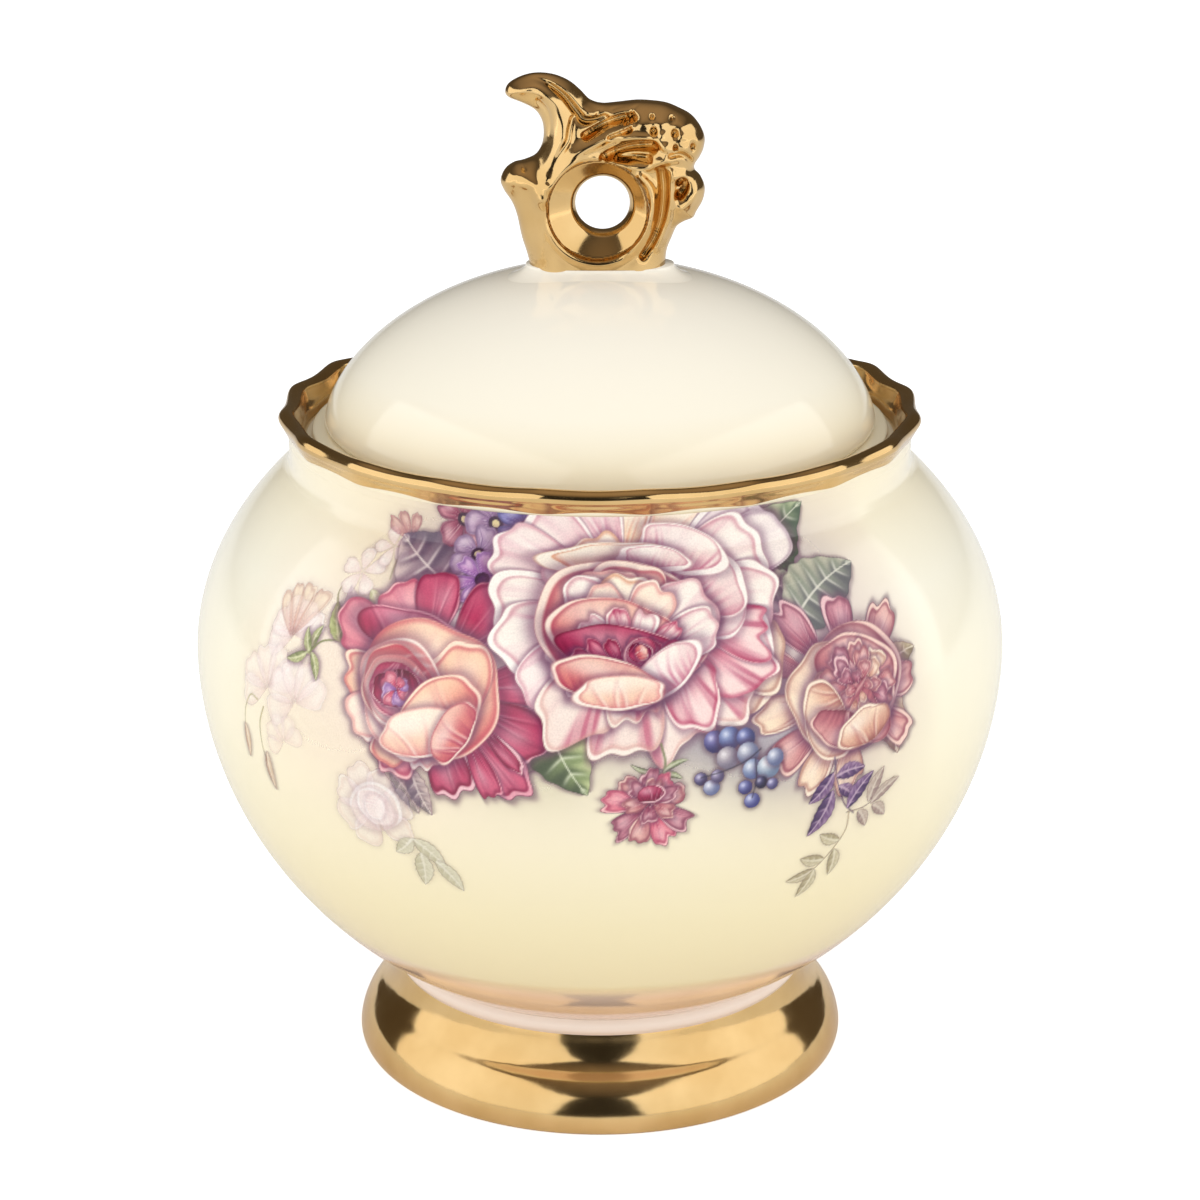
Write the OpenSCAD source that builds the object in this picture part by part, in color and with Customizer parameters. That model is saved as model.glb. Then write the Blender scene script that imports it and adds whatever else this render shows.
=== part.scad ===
// Lidded sugar bowl of glazed porcelain on a gilded pedestal foot.
// The axis of the bowl is Z and it stands on z = 0. The decorated front faces -Y.
// All dimensions are in millimetres.

/* [Belly] */
// Largest outer radius of the belly
belly_radius = 58; // [56:0.5:62]
// Height of the widest line of the belly
belly_height = 62.3; // [61:0.1:64]
// Vertical semi-axis of the belly above its widest line
belly_rise = 42.6; // [42:0.1:44]
// Vertical semi-axis of the belly below its widest line
belly_drop = 55.6; // [55:0.1:57]
// Exponent of the belly's curve, where 2 is an ellipse
belly_fullness = 1.95; // [1.9:0.01:2.05]
// Thickness of the porcelain wall
wall = 3; // [2.4:0.1:3.4]

/* [Neck and rim] */
// Radius of the mouth that the lid drops into
mouth_radius = 38.6; // [38.2:0.1:39]
// Outer radius of the ledge that carries the lid
ledge_radius = 41.6; // [41.4:0.1:42]
// Height of the ledge
ledge_height = 93; // [92.6:0.1:93.4]
// Mean radius of the centre of the rim's rolled bead
bead_centre = 44.1; // [43.9:0.1:44.4]
// Radius of the bead's own section
bead_radius = 1.15; // [1:0.05:1.25]
// Height of the bead's centre
bead_height = 96.5; // [96.2:0.1:96.8]
// Number of lobes round the rim
lobes = 20; // [12:1:24]
// Distance that a lobe stands out from the mean radius
lobe_depth = 0.5; // [0:0.05:0.7]
// Distance that the rim rises and falls with the lobes
lobe_lift = 0.25; // [0:0.05:0.4]

/* [Foot] */
// Largest radius of the foot
foot_radius = 36; // [35.5:0.1:37]
// Height of the foot
foot_height = 13; // [12.5:0.1:13.5]
// Radius of the foot where the collar stands on it
foot_top_radius = 30.2; // [29.8:0.1:30.6]
// Height of the collar between foot and belly
collar_height = 2.5; // [2:0.1:3]

/* [Lid] */
// Largest radius of the dome
dome_radius = 38.9; // [38.4:0.1:39.4]
// Height of the dome's widest line
dome_base = 95.2; // [95:0.1:95.6]
// Height from the widest line of the dome to its crown
dome_rise = 21.6; // [20.6:0.1:22.6]
// Thickness of the dome
dome_wall = 2.8; // [2.4:0.1:3]
// Outer radius of the brim that rests on the ledge
brim_radius = 40.7; // [40.2:0.1:41]
// Thickness of the brim
brim_thickness = 1.6; // [1.4:0.1:1.8]
// Outer radius of the ring that keeps the lid centred
locating_radius = 37.8; // [37.2:0.1:38]
// Depth of the locating ring below the ledge
locating_depth = 6.5; // [5:0.5:8]

/* [Finial] */
// Length of the pad and of the finial's root, along X
pad_length = 20.6; // [19.8:0.2:21]
// Width of the pad along Y
pad_width = 11.4; // [10.6:0.2:12]
// Height of the pad above the lid
pad_height = 1.4; // [1:0.1:1.6]
// Radius of the hole through the finial
eye_radius = 4; // [3.6:0.1:4.2]
// Thickness of the finial along Y
finial_width = 9.4; // [8.6:0.2:10]

/* [Hidden] */

CREAM = "#f8efd3";
BLUSH = "#f0dcc6";
GOLD = "#c1923f";
ROSE = "#d98c9c";
BISQUE = "#f4f0e6";

$fn = 96;

// Belly
belly_steps = 40;
belly_foot = foot_height + collar_height;
neck_height = ledge_height - 3.4;
neck_waist = 44;
floor_thickness = 3.6;
throat_height = ledge_height - 5.3;
mouth_land = 2.8;

// Rim
rim_slices = lobes * 6;
front_lobe_angle = 8;
lobe_softness = 0.15;

// Transfer, whose angles run round Z from the front, positive towards +X
transfer_gap = 0.05;
transfer_thickness = 0.08;
transfer_left = -78;
transfer_right = 62;
transfer_bottom = 24;
transfer_top = 88.4;
transfer_steps = 24;
front_angle = 270;

// Lid
dome_steps = 30;
dome_exponent = 1.65;
seat_drop = 0.9;
brim_top = ledge_height + brim_thickness;
dome_tuck = 0.6;
locating_wall = 2.6;
dome_seat = dome_base + dome_rise - seat_drop;

// Finial
finial_root = dome_seat + pad_height;
eye_x = 0.4;
eye_height = 8.5;
eye_rim = 4.4;
root_width = 10.2;
// The finial's bosses: each is [x, height above the root, radius].
root_left = [-6.6, 3.6, 2.8];
bud = [-10, 11.4, 3.45];
stem = [-4.6, 17, 4];
plume = [-6.8, 23.7, 2.9];
plume_tip = [-11.2, 24.4, 1.9];
shoulder = [-3.6, 16.6, 4];
pod = [9, 18, 4.9];
root_right = [6.6, 3.6, 2.4];
volute = [10.8, 10.8, 3.7];

// Outer radius of the belly at height z; inset shrinks it to the inner face.
function belly_r(z, inset = 0) =
    let (
        half = (z > belly_height ? belly_rise : belly_drop) - inset,
        t = min(abs(z - belly_height) / half, 1)
    )
    (belly_radius - inset) * pow(1 - pow(t, belly_fullness), 1 / belly_fullness);

// Points [radius, height] of the belly from height a to height b.
function belly_curve(a, b, inset = 0, out = 0, steps = belly_steps) =
    [for (i = [0:steps]) let (z = a + (b - a) * i / steps) [belly_r(z, inset) + out, z]];

// Outer radius of the dome at height z; inset shrinks it to the inner face.
function dome_r(z, inset = 0) =
    let (t = min(max(z - dome_base, 0) / (dome_rise - inset), 1))
    (dome_radius - inset) * sqrt(max(1 - pow(t, dome_exponent), 0));

// Points [radius, height] of the dome from height a to height b, closer together near b.
function dome_curve(a, b, inset = 0) =
    [for (i = [0:dome_steps]) let (z = a + (b - a) * sin(90 * i / dome_steps)) [dome_r(z, inset), z]];

// How far the rim stands out at an angle round Z: 1 at a lobe's point, about -1 between lobes.
function lobe(angle) =
    let (s = sin(lobes * (angle - front_angle - front_lobe_angle) / 2))
    1 - 2 * sqrt((s * s + lobe_softness) / (1 + lobe_softness));

// Points [radius, height, share of the lobe] round the rim's section.
function rim_section() = concat(
    [
        [ledge_radius, ledge_height, 0],
        [neck_waist, ledge_height, 0],
        [neck_waist + 0.15, ledge_height + 1.2, 0.2],
        [bead_centre + bead_radius * 0.5, bead_height - bead_radius * 1.15, 0.7]
    ],
    [for (a = [-20:40:180]) [bead_centre + bead_radius * cos(a), bead_height + bead_radius * sin(a), 1]],
    [
        [bead_centre - bead_radius * 1.35, bead_height - bead_radius, 0.7],
        [ledge_radius + 0.4, ledge_height + 1.4, 0.2]
    ]
);

module bowl_body() {
    color(CREAM)
    rotate_extrude()
    polygon(concat(
        [[0, belly_foot]],
        belly_curve(belly_foot, neck_height),
        [
            [neck_waist, neck_height + 1],
            [neck_waist, ledge_height],
            [mouth_radius, ledge_height],
            [mouth_radius, ledge_height - mouth_land]
        ],
        belly_curve(throat_height, belly_foot + floor_thickness, wall),
        [[0, belly_foot + floor_thickness]]
    ));
}

module gilded_rim() {
    section = rim_section();
    n = len(section);
    points = [
        for (i = [0:rim_slices - 1], p = section)
        let (angle = 360 * i / rim_slices, out = lobe(angle) * p[2])
        let (r = p[0] + lobe_depth * out)
        [r * cos(angle), r * sin(angle), p[1] + lobe_lift * out]
    ];
    faces = [
        for (i = [0:rim_slices - 1], j = [0:n - 1])
        let (a = i * n, b = (i + 1) % rim_slices * n, k = (j + 1) % n)
        each [[a + j, a + k, b + k], [a + j, b + k, b + j]]
    ];
    color(GOLD) polyhedron(points, faces, convexity = 6);
}

module foot_collar() {
    bulge = 0.4;
    color(BLUSH)
    rotate_extrude()
    polygon([
        [0, foot_height],
        [foot_top_radius, foot_height],
        [foot_top_radius + bulge * 0.8, foot_height + collar_height * 0.3],
        [foot_top_radius + bulge, foot_height + collar_height * 0.6],
        [foot_top_radius + bulge * 0.6, belly_foot],
        [0, belly_foot]
    ]);
}

module gilded_foot() {
    spread = foot_radius - foot_top_radius;
    foot_wall = 3.4;
    land = 2.4;
    // Shares of the foot's spread and height, from the standing edge up to the collar.
    sweep = [[0.86, 0], [0.97, 0.04], [1, 0.12], [0.98, 0.2], [0.86, 0.34], [0.66, 0.5], [0.42, 0.68], [0.2, 0.85], [0, 1]];
    color(GOLD)
    rotate_extrude()
    polygon(concat(
        [for (s = sweep) [foot_top_radius + spread * s[0], foot_height * s[1]]],
        [
            [foot_top_radius - foot_wall, foot_height],
            [foot_top_radius - foot_wall * 0.7, foot_height * 0.7],
            [foot_radius - foot_wall * 1.6, foot_height * 0.25],
            [foot_top_radius + spread * sweep[0][0] - land, 0]
        ]
    ));
}

module rose_transfer() {
    inner = belly_curve(transfer_bottom, transfer_top, 0, transfer_gap, transfer_steps);
    outer = belly_curve(
        transfer_top, transfer_bottom, 0, transfer_gap + transfer_thickness, transfer_steps
    );
    color(ROSE)
    rotate([0, 0, front_angle + transfer_left])
    rotate_extrude(angle = transfer_right - transfer_left)
    polygon(concat(inner, outer));
}

module lid_dome() {
    foot_r = dome_radius - dome_tuck;
    inside = dome_curve(dome_base, dome_base + dome_rise - dome_wall, dome_wall);
    color(CREAM)
    rotate_extrude()
    polygon(concat(
        [[foot_r - dome_wall, brim_top], [foot_r, brim_top]],
        dome_curve(dome_base, dome_seat),
        [[0, dome_seat]],
        [for (i = [dome_steps:-1:0]) inside[i]]
    ));
}

module lid_flange() {
    edge = brim_thickness * 0.3;
    inner = locating_radius - locating_wall;
    color(BISQUE)
    rotate_extrude()
    polygon([
        [inner, ledge_height - locating_depth],
        [locating_radius - edge, ledge_height - locating_depth],
        [locating_radius, ledge_height - locating_depth + edge],
        [locating_radius, ledge_height],
        [brim_radius - edge, ledge_height],
        [brim_radius, ledge_height + edge],
        [brim_radius, brim_top - edge],
        [brim_radius - edge, brim_top],
        [inner, brim_top]
    ]);
}

// A bar with round ends along X, standing on z = 0 and tapering towards its top.
module pad_bar(length, width, height, taper) {
    reach = (length - width) / 2;
    hull() {
        for (side = [-1, 1])
            translate([side * reach, 0, 0])
            cylinder(h = height, r1 = width / 2, r2 = width / 2 - taper, $fn = 32);
    }
}

module finial_pad() {
    color(CREAM)
    translate([0, 0, dome_seat])
    pad_bar(pad_length, pad_width, pad_height, 0.5);
}

// Two of the finial's bosses joined by a web, centred on y = 0.
module web(a, b, width) {
    hull() {
        for (p = [a, b])
            translate([p[0], width / 2, p[1]])
            rotate([90, 0, 0])
            cylinder(h = width, r = p[2], $fn = 32);
    }
}

module ball(boss, swell) {
    translate([boss[0], 0, boss[1]]) sphere(r = boss[2] + swell);
}

module finial() {
    swell = 0.35;
    color(GOLD)
    translate([0, 0, finial_root])
    difference() {
        union() {
            pad_bar(pad_length - 1.2, root_width, 4.5, 0.6);
            web(root_left, bud, finial_width * 0.8);
            web(bud, stem, finial_width * 0.8);
            web(stem, plume, finial_width * 0.7);
            web(plume, plume_tip, finial_width * 0.5);
            web(shoulder, pod, finial_width * 0.8);
            web(root_right, volute, finial_width * 0.7);
            ball(pod, swell);
            ball(volute, swell);
            ball(bud, swell);
            translate([eye_x, finial_width / 2, eye_height])
                rotate([90, 0, 0])
                cylinder(h = finial_width, r = eye_radius + eye_rim);
        }
        translate([eye_x, finial_width, eye_height])
            rotate([90, 0, 0])
            cylinder(h = finial_width * 2, r = eye_radius);
    }
}

bowl_body();
gilded_rim();
foot_collar();
gilded_foot();
rose_transfer();
lid_dome();
lid_flange();
finial_pad();
finial();
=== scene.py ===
"""A lidded porcelain sugar bowl: the looks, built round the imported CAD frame.

Lengths in this script are in millimetres and become metres in mesh_piece(). Angles round the
bowl are in degrees from its front, which faces -Y, and grow towards +X.
"""

import math

import bpy
import numpy as np
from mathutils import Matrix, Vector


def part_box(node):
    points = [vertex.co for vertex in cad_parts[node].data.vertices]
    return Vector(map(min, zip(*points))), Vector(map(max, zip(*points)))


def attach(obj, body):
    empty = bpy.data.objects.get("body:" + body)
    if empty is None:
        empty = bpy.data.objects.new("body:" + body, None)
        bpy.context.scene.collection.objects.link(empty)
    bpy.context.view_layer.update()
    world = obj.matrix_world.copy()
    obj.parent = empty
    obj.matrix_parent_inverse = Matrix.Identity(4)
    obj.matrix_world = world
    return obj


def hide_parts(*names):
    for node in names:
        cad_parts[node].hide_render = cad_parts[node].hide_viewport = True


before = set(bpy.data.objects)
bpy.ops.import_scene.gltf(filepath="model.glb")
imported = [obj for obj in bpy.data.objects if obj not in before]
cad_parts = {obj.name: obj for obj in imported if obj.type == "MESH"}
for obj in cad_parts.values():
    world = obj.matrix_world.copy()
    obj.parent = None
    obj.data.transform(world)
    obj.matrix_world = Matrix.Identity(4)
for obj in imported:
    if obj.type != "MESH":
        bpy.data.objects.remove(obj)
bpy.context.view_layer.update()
MM = 0.001


# ---------------------------------------------------------------- dimensions


def low(node, axis):
    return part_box(node)[0][axis] / MM


def high(node, axis):
    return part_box(node)[1][axis] / MM


X, Z = 0, 2
FRONT = math.radians(270)

BELLY_R = high("bowl_body", X)
BELLY_Z = 62.3
BELLY_RISE = 42.6
BELLY_DROP = 55.6
BELLY_FULLNESS = 1.95
BELLY_FOOT = low("bowl_body", Z)
LEDGE_Z = high("bowl_body", Z)
WALL = 3.0
FLOOR_THICKNESS = 3.6
NECK_Z = LEDGE_Z - 3.4
NECK_WAIST = 44.0
MOUTH_R = 38.6
MOUTH_LAND = 2.8
THROAT_Z = LEDGE_Z - 5.3

BEAD_R = 1.15
BEAD_CENTRE = 44.1
BEAD_Z = 96.5
LEDGE_R = 41.6
LOBES = 20
LOBE_DEPTH = 0.5
LOBE_LIFT = 0.25
LOBE_FRONT = 8
LOBE_SOFTNESS = 0.15
GILDING_Z = LEDGE_Z + 1.3

FOOT_R = high("gilded_foot", X)
FOOT_TOP_Z = high("gilded_foot", Z)
FOOT_TOP_R = 30.2

DOME_R = high("lid_dome", X)
DOME_FOOT_Z = low("lid_dome", Z)
DOME_BASE = 95.2
DOME_RISE = 21.6
DOME_WALL = 2.8
DOME_EXPONENT = 1.65
FLANGE_LOW = low("lid_flange", Z)
BRIM_R = high("lid_flange", X)
PAD_TOP_Z = high("finial_pad", Z)

TRANSFER_OFFSET = 0.05
TILES = (3, 5)
SIDES = (-64, 54)
SIDE_FADE = 6
LOWEST_RISE = -26
PAINT_STEP = 0.17
PAINT_SEED = 7


def belly_r(z, inset=0.0):
    """The belly's outer radius at height z; inset shrinks it to the inner face."""
    half = np.where(z > BELLY_Z, BELLY_RISE, BELLY_DROP) - inset
    t = np.clip(np.abs(z - BELLY_Z) / half, 0, 1)
    return (BELLY_R - inset) * (1 - t**BELLY_FULLNESS) ** (1 / BELLY_FULLNESS)


def dome_r(z, inset=0.0):
    t = np.clip((z - DOME_BASE) / (DOME_RISE - inset), 0, 1)
    return (DOME_R - inset) * np.sqrt(np.clip(1 - t**DOME_EXPONENT, 0, 1))


def dome_z(r):
    """The dome's outer height at radius r."""
    return DOME_BASE + DOME_RISE * (1 - (r / DOME_R) ** 2) ** (1 / DOME_EXPONENT)


# ---------------------------------------------------------------- mesh helpers


def spline(points, steps, closed=False):
    """A smooth curve through the points, with steps points for each stretch."""
    p = np.asarray(points, float)
    n = len(p)
    if closed:
        ring = np.vstack([p[-1], p, p[:2]])
    else:
        ring = np.vstack([2 * p[0] - p[1], p, 2 * p[-1] - p[-2]])
    spans = n if closed else n - 1
    t = (np.arange(steps) / steps)[:, None]
    found = []
    for i in range(spans):
        a, b, c, d = ring[i : i + 4]
        found.append(
            0.5 * (2 * b + (c - a) * t + (2 * a - 5 * b + 4 * c - d) * t**2 + (3 * b - a - 3 * c + d) * t**3)
        )
    if not closed:
        found.append(p[-1:])
    return np.vstack(found)


def mesh_piece(name, points, faces, material, smooth_angle=60):
    """An object from points in millimetres."""
    mesh = bpy.data.meshes.new(name)
    mesh.from_pydata((np.asarray(points, float) * MM).tolist(), [], faces)
    mesh.validate()
    mesh.shade_smooth()
    mesh.set_sharp_from_angle(angle=math.radians(smooth_angle))
    mesh.materials.append(material)
    piece = bpy.data.objects.new(name, mesh)
    bpy.context.scene.collection.objects.link(piece)
    return piece


def grid_faces(rows, columns, wrap_rows=False, wrap_columns=False):
    """Quads that join a grid of points, numbered row by row."""
    r = np.arange(rows if wrap_rows else rows - 1)[:, None]
    c = np.arange(columns if wrap_columns else columns - 1)[None, :]
    r2, c2 = (r + 1) % rows, (c + 1) % columns
    quads = np.stack([r * columns + c, r * columns + c2, r2 * columns + c2, r2 * columns + c], -1)
    return quads.reshape(-1, 4).tolist()


def lathe(name, profile, material, turns=256, smooth_angle=60):
    """A closed solid of revolution from a profile of (radius, height), listed inside-left."""
    p = np.asarray(profile, float)
    angle = np.linspace(0, 2 * np.pi, turns, endpoint=False)
    points = np.stack(
        [
            p[None, :, 0] * np.cos(angle)[:, None],
            p[None, :, 0] * np.sin(angle)[:, None],
            np.broadcast_to(p[None, :, 1], (turns, len(p))),
        ],
        -1,
    ).reshape(-1, 3)
    axis_to_axis = p[0, 0] < 1e-6 and p[-1, 0] < 1e-6
    faces = grid_faces(turns, len(p), wrap_rows=True, wrap_columns=not axis_to_axis)
    piece = mesh_piece(name, points, faces, material, smooth_angle)
    merge_doubles(piece)
    return piece


def merge_doubles(piece):
    import bmesh

    bm = bmesh.new()
    bm.from_mesh(piece.data)
    bmesh.ops.remove_doubles(bm, verts=bm.verts, dist=1e-7)
    bmesh.ops.recalc_face_normals(bm, faces=bm.faces)
    bm.to_mesh(piece.data)
    bm.free()


def place(piece, body, slot, *nodes):
    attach(piece, body)
    if nodes:
        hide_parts(*nodes)


# ---------------------------------------------------------------- materials


def new_material(name, **sockets):
    """A material with one Principled shader; returns it, its node tree and the shader."""
    material = bpy.data.materials.new(name)
    material.use_nodes = True
    shader = material.node_tree.nodes["Principled BSDF"]
    for socket, value in sockets.items():
        shader.inputs[socket.replace("_", " ")].default_value = value
    return material, material.node_tree, shader


def linear_rgb(c):
    """sRGB values of 0 to 1 as linear ones."""
    return np.where(c <= 0.04045, c / 12.92, ((np.clip(c, 0, 1) + 0.055) / 1.055) ** 2.4)


def linear(colour):
    """An sRGB colour of 0 to 255 as linear RGBA."""
    return (*linear_rgb(np.asarray(colour, float) / 255), 1.0)


def node(tree, kind, **inputs):
    made = tree.nodes.new(kind)
    for name, value in inputs.items():
        made.inputs[name.replace("_", " ")].default_value = value
    return made


def rescale(tree, value, low, high):
    """A node that turns a value of 0 to 1 into one of low to high."""
    made = node(tree, "ShaderNodeMapRange", To_Min=low, To_Max=high)
    tree.links.new(value, made.inputs["Value"])
    return made.outputs[0]


def height_ramp(tree, stops):
    """A colour ramp over height: stops is [(height in mm, sRGB colour)]."""
    place_node = tree.nodes.new("ShaderNodeTexCoord")
    split = tree.nodes.new("ShaderNodeSeparateXYZ")
    tree.links.new(place_node.outputs["Object"], split.inputs[0])
    span = tree.nodes.new("ShaderNodeMapRange")
    span.inputs["From Min"].default_value = stops[0][0] * MM
    span.inputs["From Max"].default_value = stops[-1][0] * MM
    tree.links.new(split.outputs["Z"], span.inputs["Value"])
    ramp = tree.nodes.new("ShaderNodeValToRGB")
    tree.links.new(span.outputs[0], ramp.inputs[0])
    size = stops[-1][0] - stops[0][0]
    elements = ramp.color_ramp.elements
    for i, (height, colour) in enumerate(stops):
        spot = (height - stops[0][0]) / size
        element = elements[0] if i == 0 else elements[-1] if i == len(stops) - 1 else elements.new(spot)
        element.position = spot
        element.color = linear(colour)
    return ramp


def bump(tree, shader, scale, strength, distance, detail=2.0):
    """A fine unevenness of the surface, in object space."""
    where = tree.nodes.new("ShaderNodeTexCoord")
    noise = node(tree, "ShaderNodeTexNoise", Scale=scale, Detail=detail)
    tree.links.new(where.outputs["Object"], noise.inputs["Vector"])
    made = node(tree, "ShaderNodeBump", Strength=strength, Distance=distance)
    tree.links.new(noise.outputs["Fac"], made.inputs["Height"])
    tree.links.new(made.outputs["Normal"], shader.inputs["Normal"])


# The glaze's sRGB colour, and how much it mirrors as a grey, at heights in millimetres. The warmer, darker
# tones at 93 and 98 mm, round the neck and the lid's lower edge, are painted shade and a painted reflection
# of the gilding.
CREAM_TONES_WITH_PAINTED_SHADE = [
    (14, (222, 188, 166)), (24.5, (232, 204, 182)), (27.5, (234, 218, 172)), (40, (240, 227, 186)),
    (60, (248, 240, 212)), (80, (250, 245, 226)), (93, (248, 238, 210)), (98, (248, 236, 206)),
    (104, (250, 243, 224)), (118, (252, 246, 232)),
]
CREAM_SHINE = [(23, (150, 150, 150)), (27, (0, 0, 0))]
BLUSH_TONES = [(12, (224, 196, 176)), (14.5, (244, 228, 214)), (16, (238, 218, 200))]
GOLD_TONES = [(212, 176, 118), (224, 190, 134)]


def cream_glaze():
    """Ivory glaze, warmer below, which is blushed and strongly shiny just above the foot. Round the neck and
    the lid's lower edge its colour holds painted shade and a painted reflection of the gilding.
    """
    material, tree, shader = new_material("cream_glaze", Roughness=0.1, IOR=1.5)
    # The height ramp paints shade and a reflection of the gilding into the colour round the neck and the
    # lid's lower edge.
    ramp = height_ramp(tree, CREAM_TONES_WITH_PAINTED_SHADE)
    tree.links.new(ramp.outputs["Color"], shader.inputs["Base Color"])
    shine = height_ramp(tree, CREAM_SHINE)
    tree.links.new(shine.outputs["Color"], shader.inputs["Metallic"])
    bump(tree, shader, 60, 0.08, 0.0004)
    return material


def blush_glaze():
    material, tree, shader = new_material("blush_glaze", Roughness=0.1)
    ramp = height_ramp(tree, BLUSH_TONES)
    tree.links.new(ramp.outputs["Color"], shader.inputs["Base Color"])
    bump(tree, shader, 120, 0.15, 0.0004)
    return material


def gold_lustre():
    """Bright gilding over glaze: a mirror with slow waves in it and a little unevenness of tone."""
    material, tree, shader = new_material("gold_lustre", Metallic=1.0)
    where = tree.nodes.new("ShaderNodeTexCoord")
    cloud = node(tree, "ShaderNodeTexNoise", Scale=110.0, Detail=3.0)
    tree.links.new(where.outputs["Object"], cloud.inputs["Vector"])
    tone = tree.nodes.new("ShaderNodeValToRGB")
    for element, position, colour in zip(tone.color_ramp.elements, (0.35, 0.65), GOLD_TONES):
        element.position, element.color = position, linear(colour)
    tree.links.new(cloud.outputs["Fac"], tone.inputs[0])
    tree.links.new(tone.outputs["Color"], shader.inputs["Base Color"])
    tree.links.new(rescale(tree, cloud.outputs["Fac"], 0.08, 0.16), shader.inputs["Roughness"])
    bump(tree, shader, 160, 0.2, 0.0003)
    return material


def flower_enamel():
    """The fired painting: its colour and cover come from the mesh, under a fine print grain."""
    material, tree, shader = new_material("flower_enamel", Roughness=0.12)
    paint = tree.nodes.new("ShaderNodeVertexColor")
    paint.layer_name = "paint"
    where = tree.nodes.new("ShaderNodeTexCoord")
    grain = node(tree, "ShaderNodeTexNoise", Scale=4200.0, Detail=1.0)
    tree.links.new(where.outputs["Object"], grain.inputs["Vector"])
    shaded = node(tree, "ShaderNodeHueSaturation")
    tree.links.new(paint.outputs["Color"], shaded.inputs["Color"])
    tree.links.new(rescale(tree, grain.outputs["Fac"], 0.84, 1.14), shaded.inputs["Value"])
    tree.links.new(shaded.outputs["Color"], shader.inputs["Base Color"])
    tree.links.new(paint.outputs["Alpha"], shader.inputs["Alpha"])
    return material


# ---------------------------------------------------------------- studio

CAMERA_DISTANCE = 453.7
CAMERA_TILT = math.radians(18.99)
CAMERA_TARGET = 67.6
CAMERA_LENS = 94.15
CAMERA_SENSOR = 36
FLOOR_SIZE = 4000
FLOOR_GLOW = (0.06, 0.66)
WORLD_FILL = (0.37, 0.37, 0.37, 1)
ROOM_LOW = (0.03, 0.028, 0.025, 1)
ROOM_HIGH = (0.42, 0.33, 0.25, 1)
ROOM_BEHIND = (0.1, 0.08, 0.056, 1)


def make_camera():
    data = bpy.data.cameras.new("camera")
    data.sensor_width = CAMERA_SENSOR
    data.lens = CAMERA_LENS
    data.clip_start, data.clip_end = 0.01, 50
    camera = bpy.data.objects.new("camera", data)
    camera.location = (
        0,
        -CAMERA_DISTANCE * math.cos(CAMERA_TILT) * MM,
        (CAMERA_TARGET + CAMERA_DISTANCE * math.sin(CAMERA_TILT)) * MM,
    )
    camera.rotation_euler = (math.pi / 2 - CAMERA_TILT, 0, 0)
    bpy.context.scene.collection.objects.link(camera)
    bpy.context.scene.camera = camera


def make_floor():
    size = FLOOR_SIZE
    material, tree, shader = new_material("floor", Roughness=0.9)
    shader.inputs["Base Color"].default_value = linear((250, 250, 250))
    # The floor glows more to the camera's rays, so it stays white and lights the bowl little from below.
    shader.inputs["Emission Color"].default_value = (1, 1, 1, 1)
    path = tree.nodes.new("ShaderNodeLightPath")
    glow = rescale(tree, path.outputs["Is Camera Ray"], *FLOOR_GLOW)
    tree.links.new(glow, shader.inputs["Emission Strength"])
    corners = [(-size, -size, 0), (size, -size, 0), (size, size, 0), (-size, size, 0)]
    mesh_piece("floor", corners, [(0, 1, 2, 3)], material)


def softbox(name, place_mm, aim_mm, width, height, power, reflects=True):
    from mathutils import Vector

    data = bpy.data.lights.new(name, "AREA")
    data.shape = "RECTANGLE"
    data.size, data.size_y = width * MM, height * MM
    data.energy = power
    lamp = bpy.data.objects.new(name, data)
    lamp.location = Vector(place_mm) * MM
    lamp.rotation_euler = (Vector(aim_mm) - Vector(place_mm)).to_track_quat("-Z", "Y").to_euler()
    lamp.visible_camera = False
    lamp.visible_glossy = reflects
    bpy.context.scene.collection.objects.link(lamp)


def make_lights():
    """Two tall softboxes with a dark gap between them, in a light tent that is dim in reflections."""
    for side, name in ((-1, "left_softbox"), (1, "right_softbox")):
        softbox(name, (side * 812, -396, 430), (0, 0, 90), 2000, 900, 7.0)
    softbox("top_softbox", (0, -150, 1100), (0, 0, 60), 1100, 1100, 3.0, reflects=False)
    world = bpy.data.worlds.new("studio")
    world.use_nodes = True
    tree = world.node_tree
    where = tree.nodes.new("ShaderNodeTexCoord")
    split = tree.nodes.new("ShaderNodeSeparateXYZ")
    tree.links.new(where.outputs["Generated"], split.inputs[0])
    dim = tree.nodes.new("ShaderNodeValToRGB")
    dim.color_ramp.elements[0].color = ROOM_LOW
    dim.color_ramp.elements[1].color = ROOM_HIGH
    dim.color_ramp.elements[0].position, dim.color_ramp.elements[1].position = 0.6, 1.0
    tree.links.new(split.outputs["Z"], dim.inputs[0])
    behind = node(tree, "ShaderNodeMapRange")
    behind.inputs["From Min"].default_value, behind.inputs["From Max"].default_value = -0.85, -0.35
    tree.links.new(split.outputs["Y"], behind.inputs["Value"])
    room = tree.nodes.new("ShaderNodeMix")
    room.data_type, room.blend_type = "RGBA", "LIGHTEN"
    room.inputs[7].default_value = ROOM_BEHIND
    tree.links.new(behind.outputs[0], room.inputs["Factor"])
    tree.links.new(dim.outputs["Color"], room.inputs[6])
    path = tree.nodes.new("ShaderNodeLightPath")
    choice = tree.nodes.new("ShaderNodeMix")
    choice.data_type = "RGBA"
    tree.links.new(path.outputs["Is Glossy Ray"], choice.inputs["Factor"])
    choice.inputs[6].default_value = WORLD_FILL
    tree.links.new(room.outputs[2], choice.inputs[7])
    tree.links.new(choice.outputs[2], tree.nodes["Background"].inputs["Color"])
    bpy.context.scene.world = world
    bpy.context.scene.view_settings.view_transform = "Standard"


# ---------------------------------------------------------------- porcelain and gilding


def belly_line(a, b, steps, inset=0.0):
    z = np.linspace(a, b, steps)
    return np.stack([belly_r(z, inset), z], -1)


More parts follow.
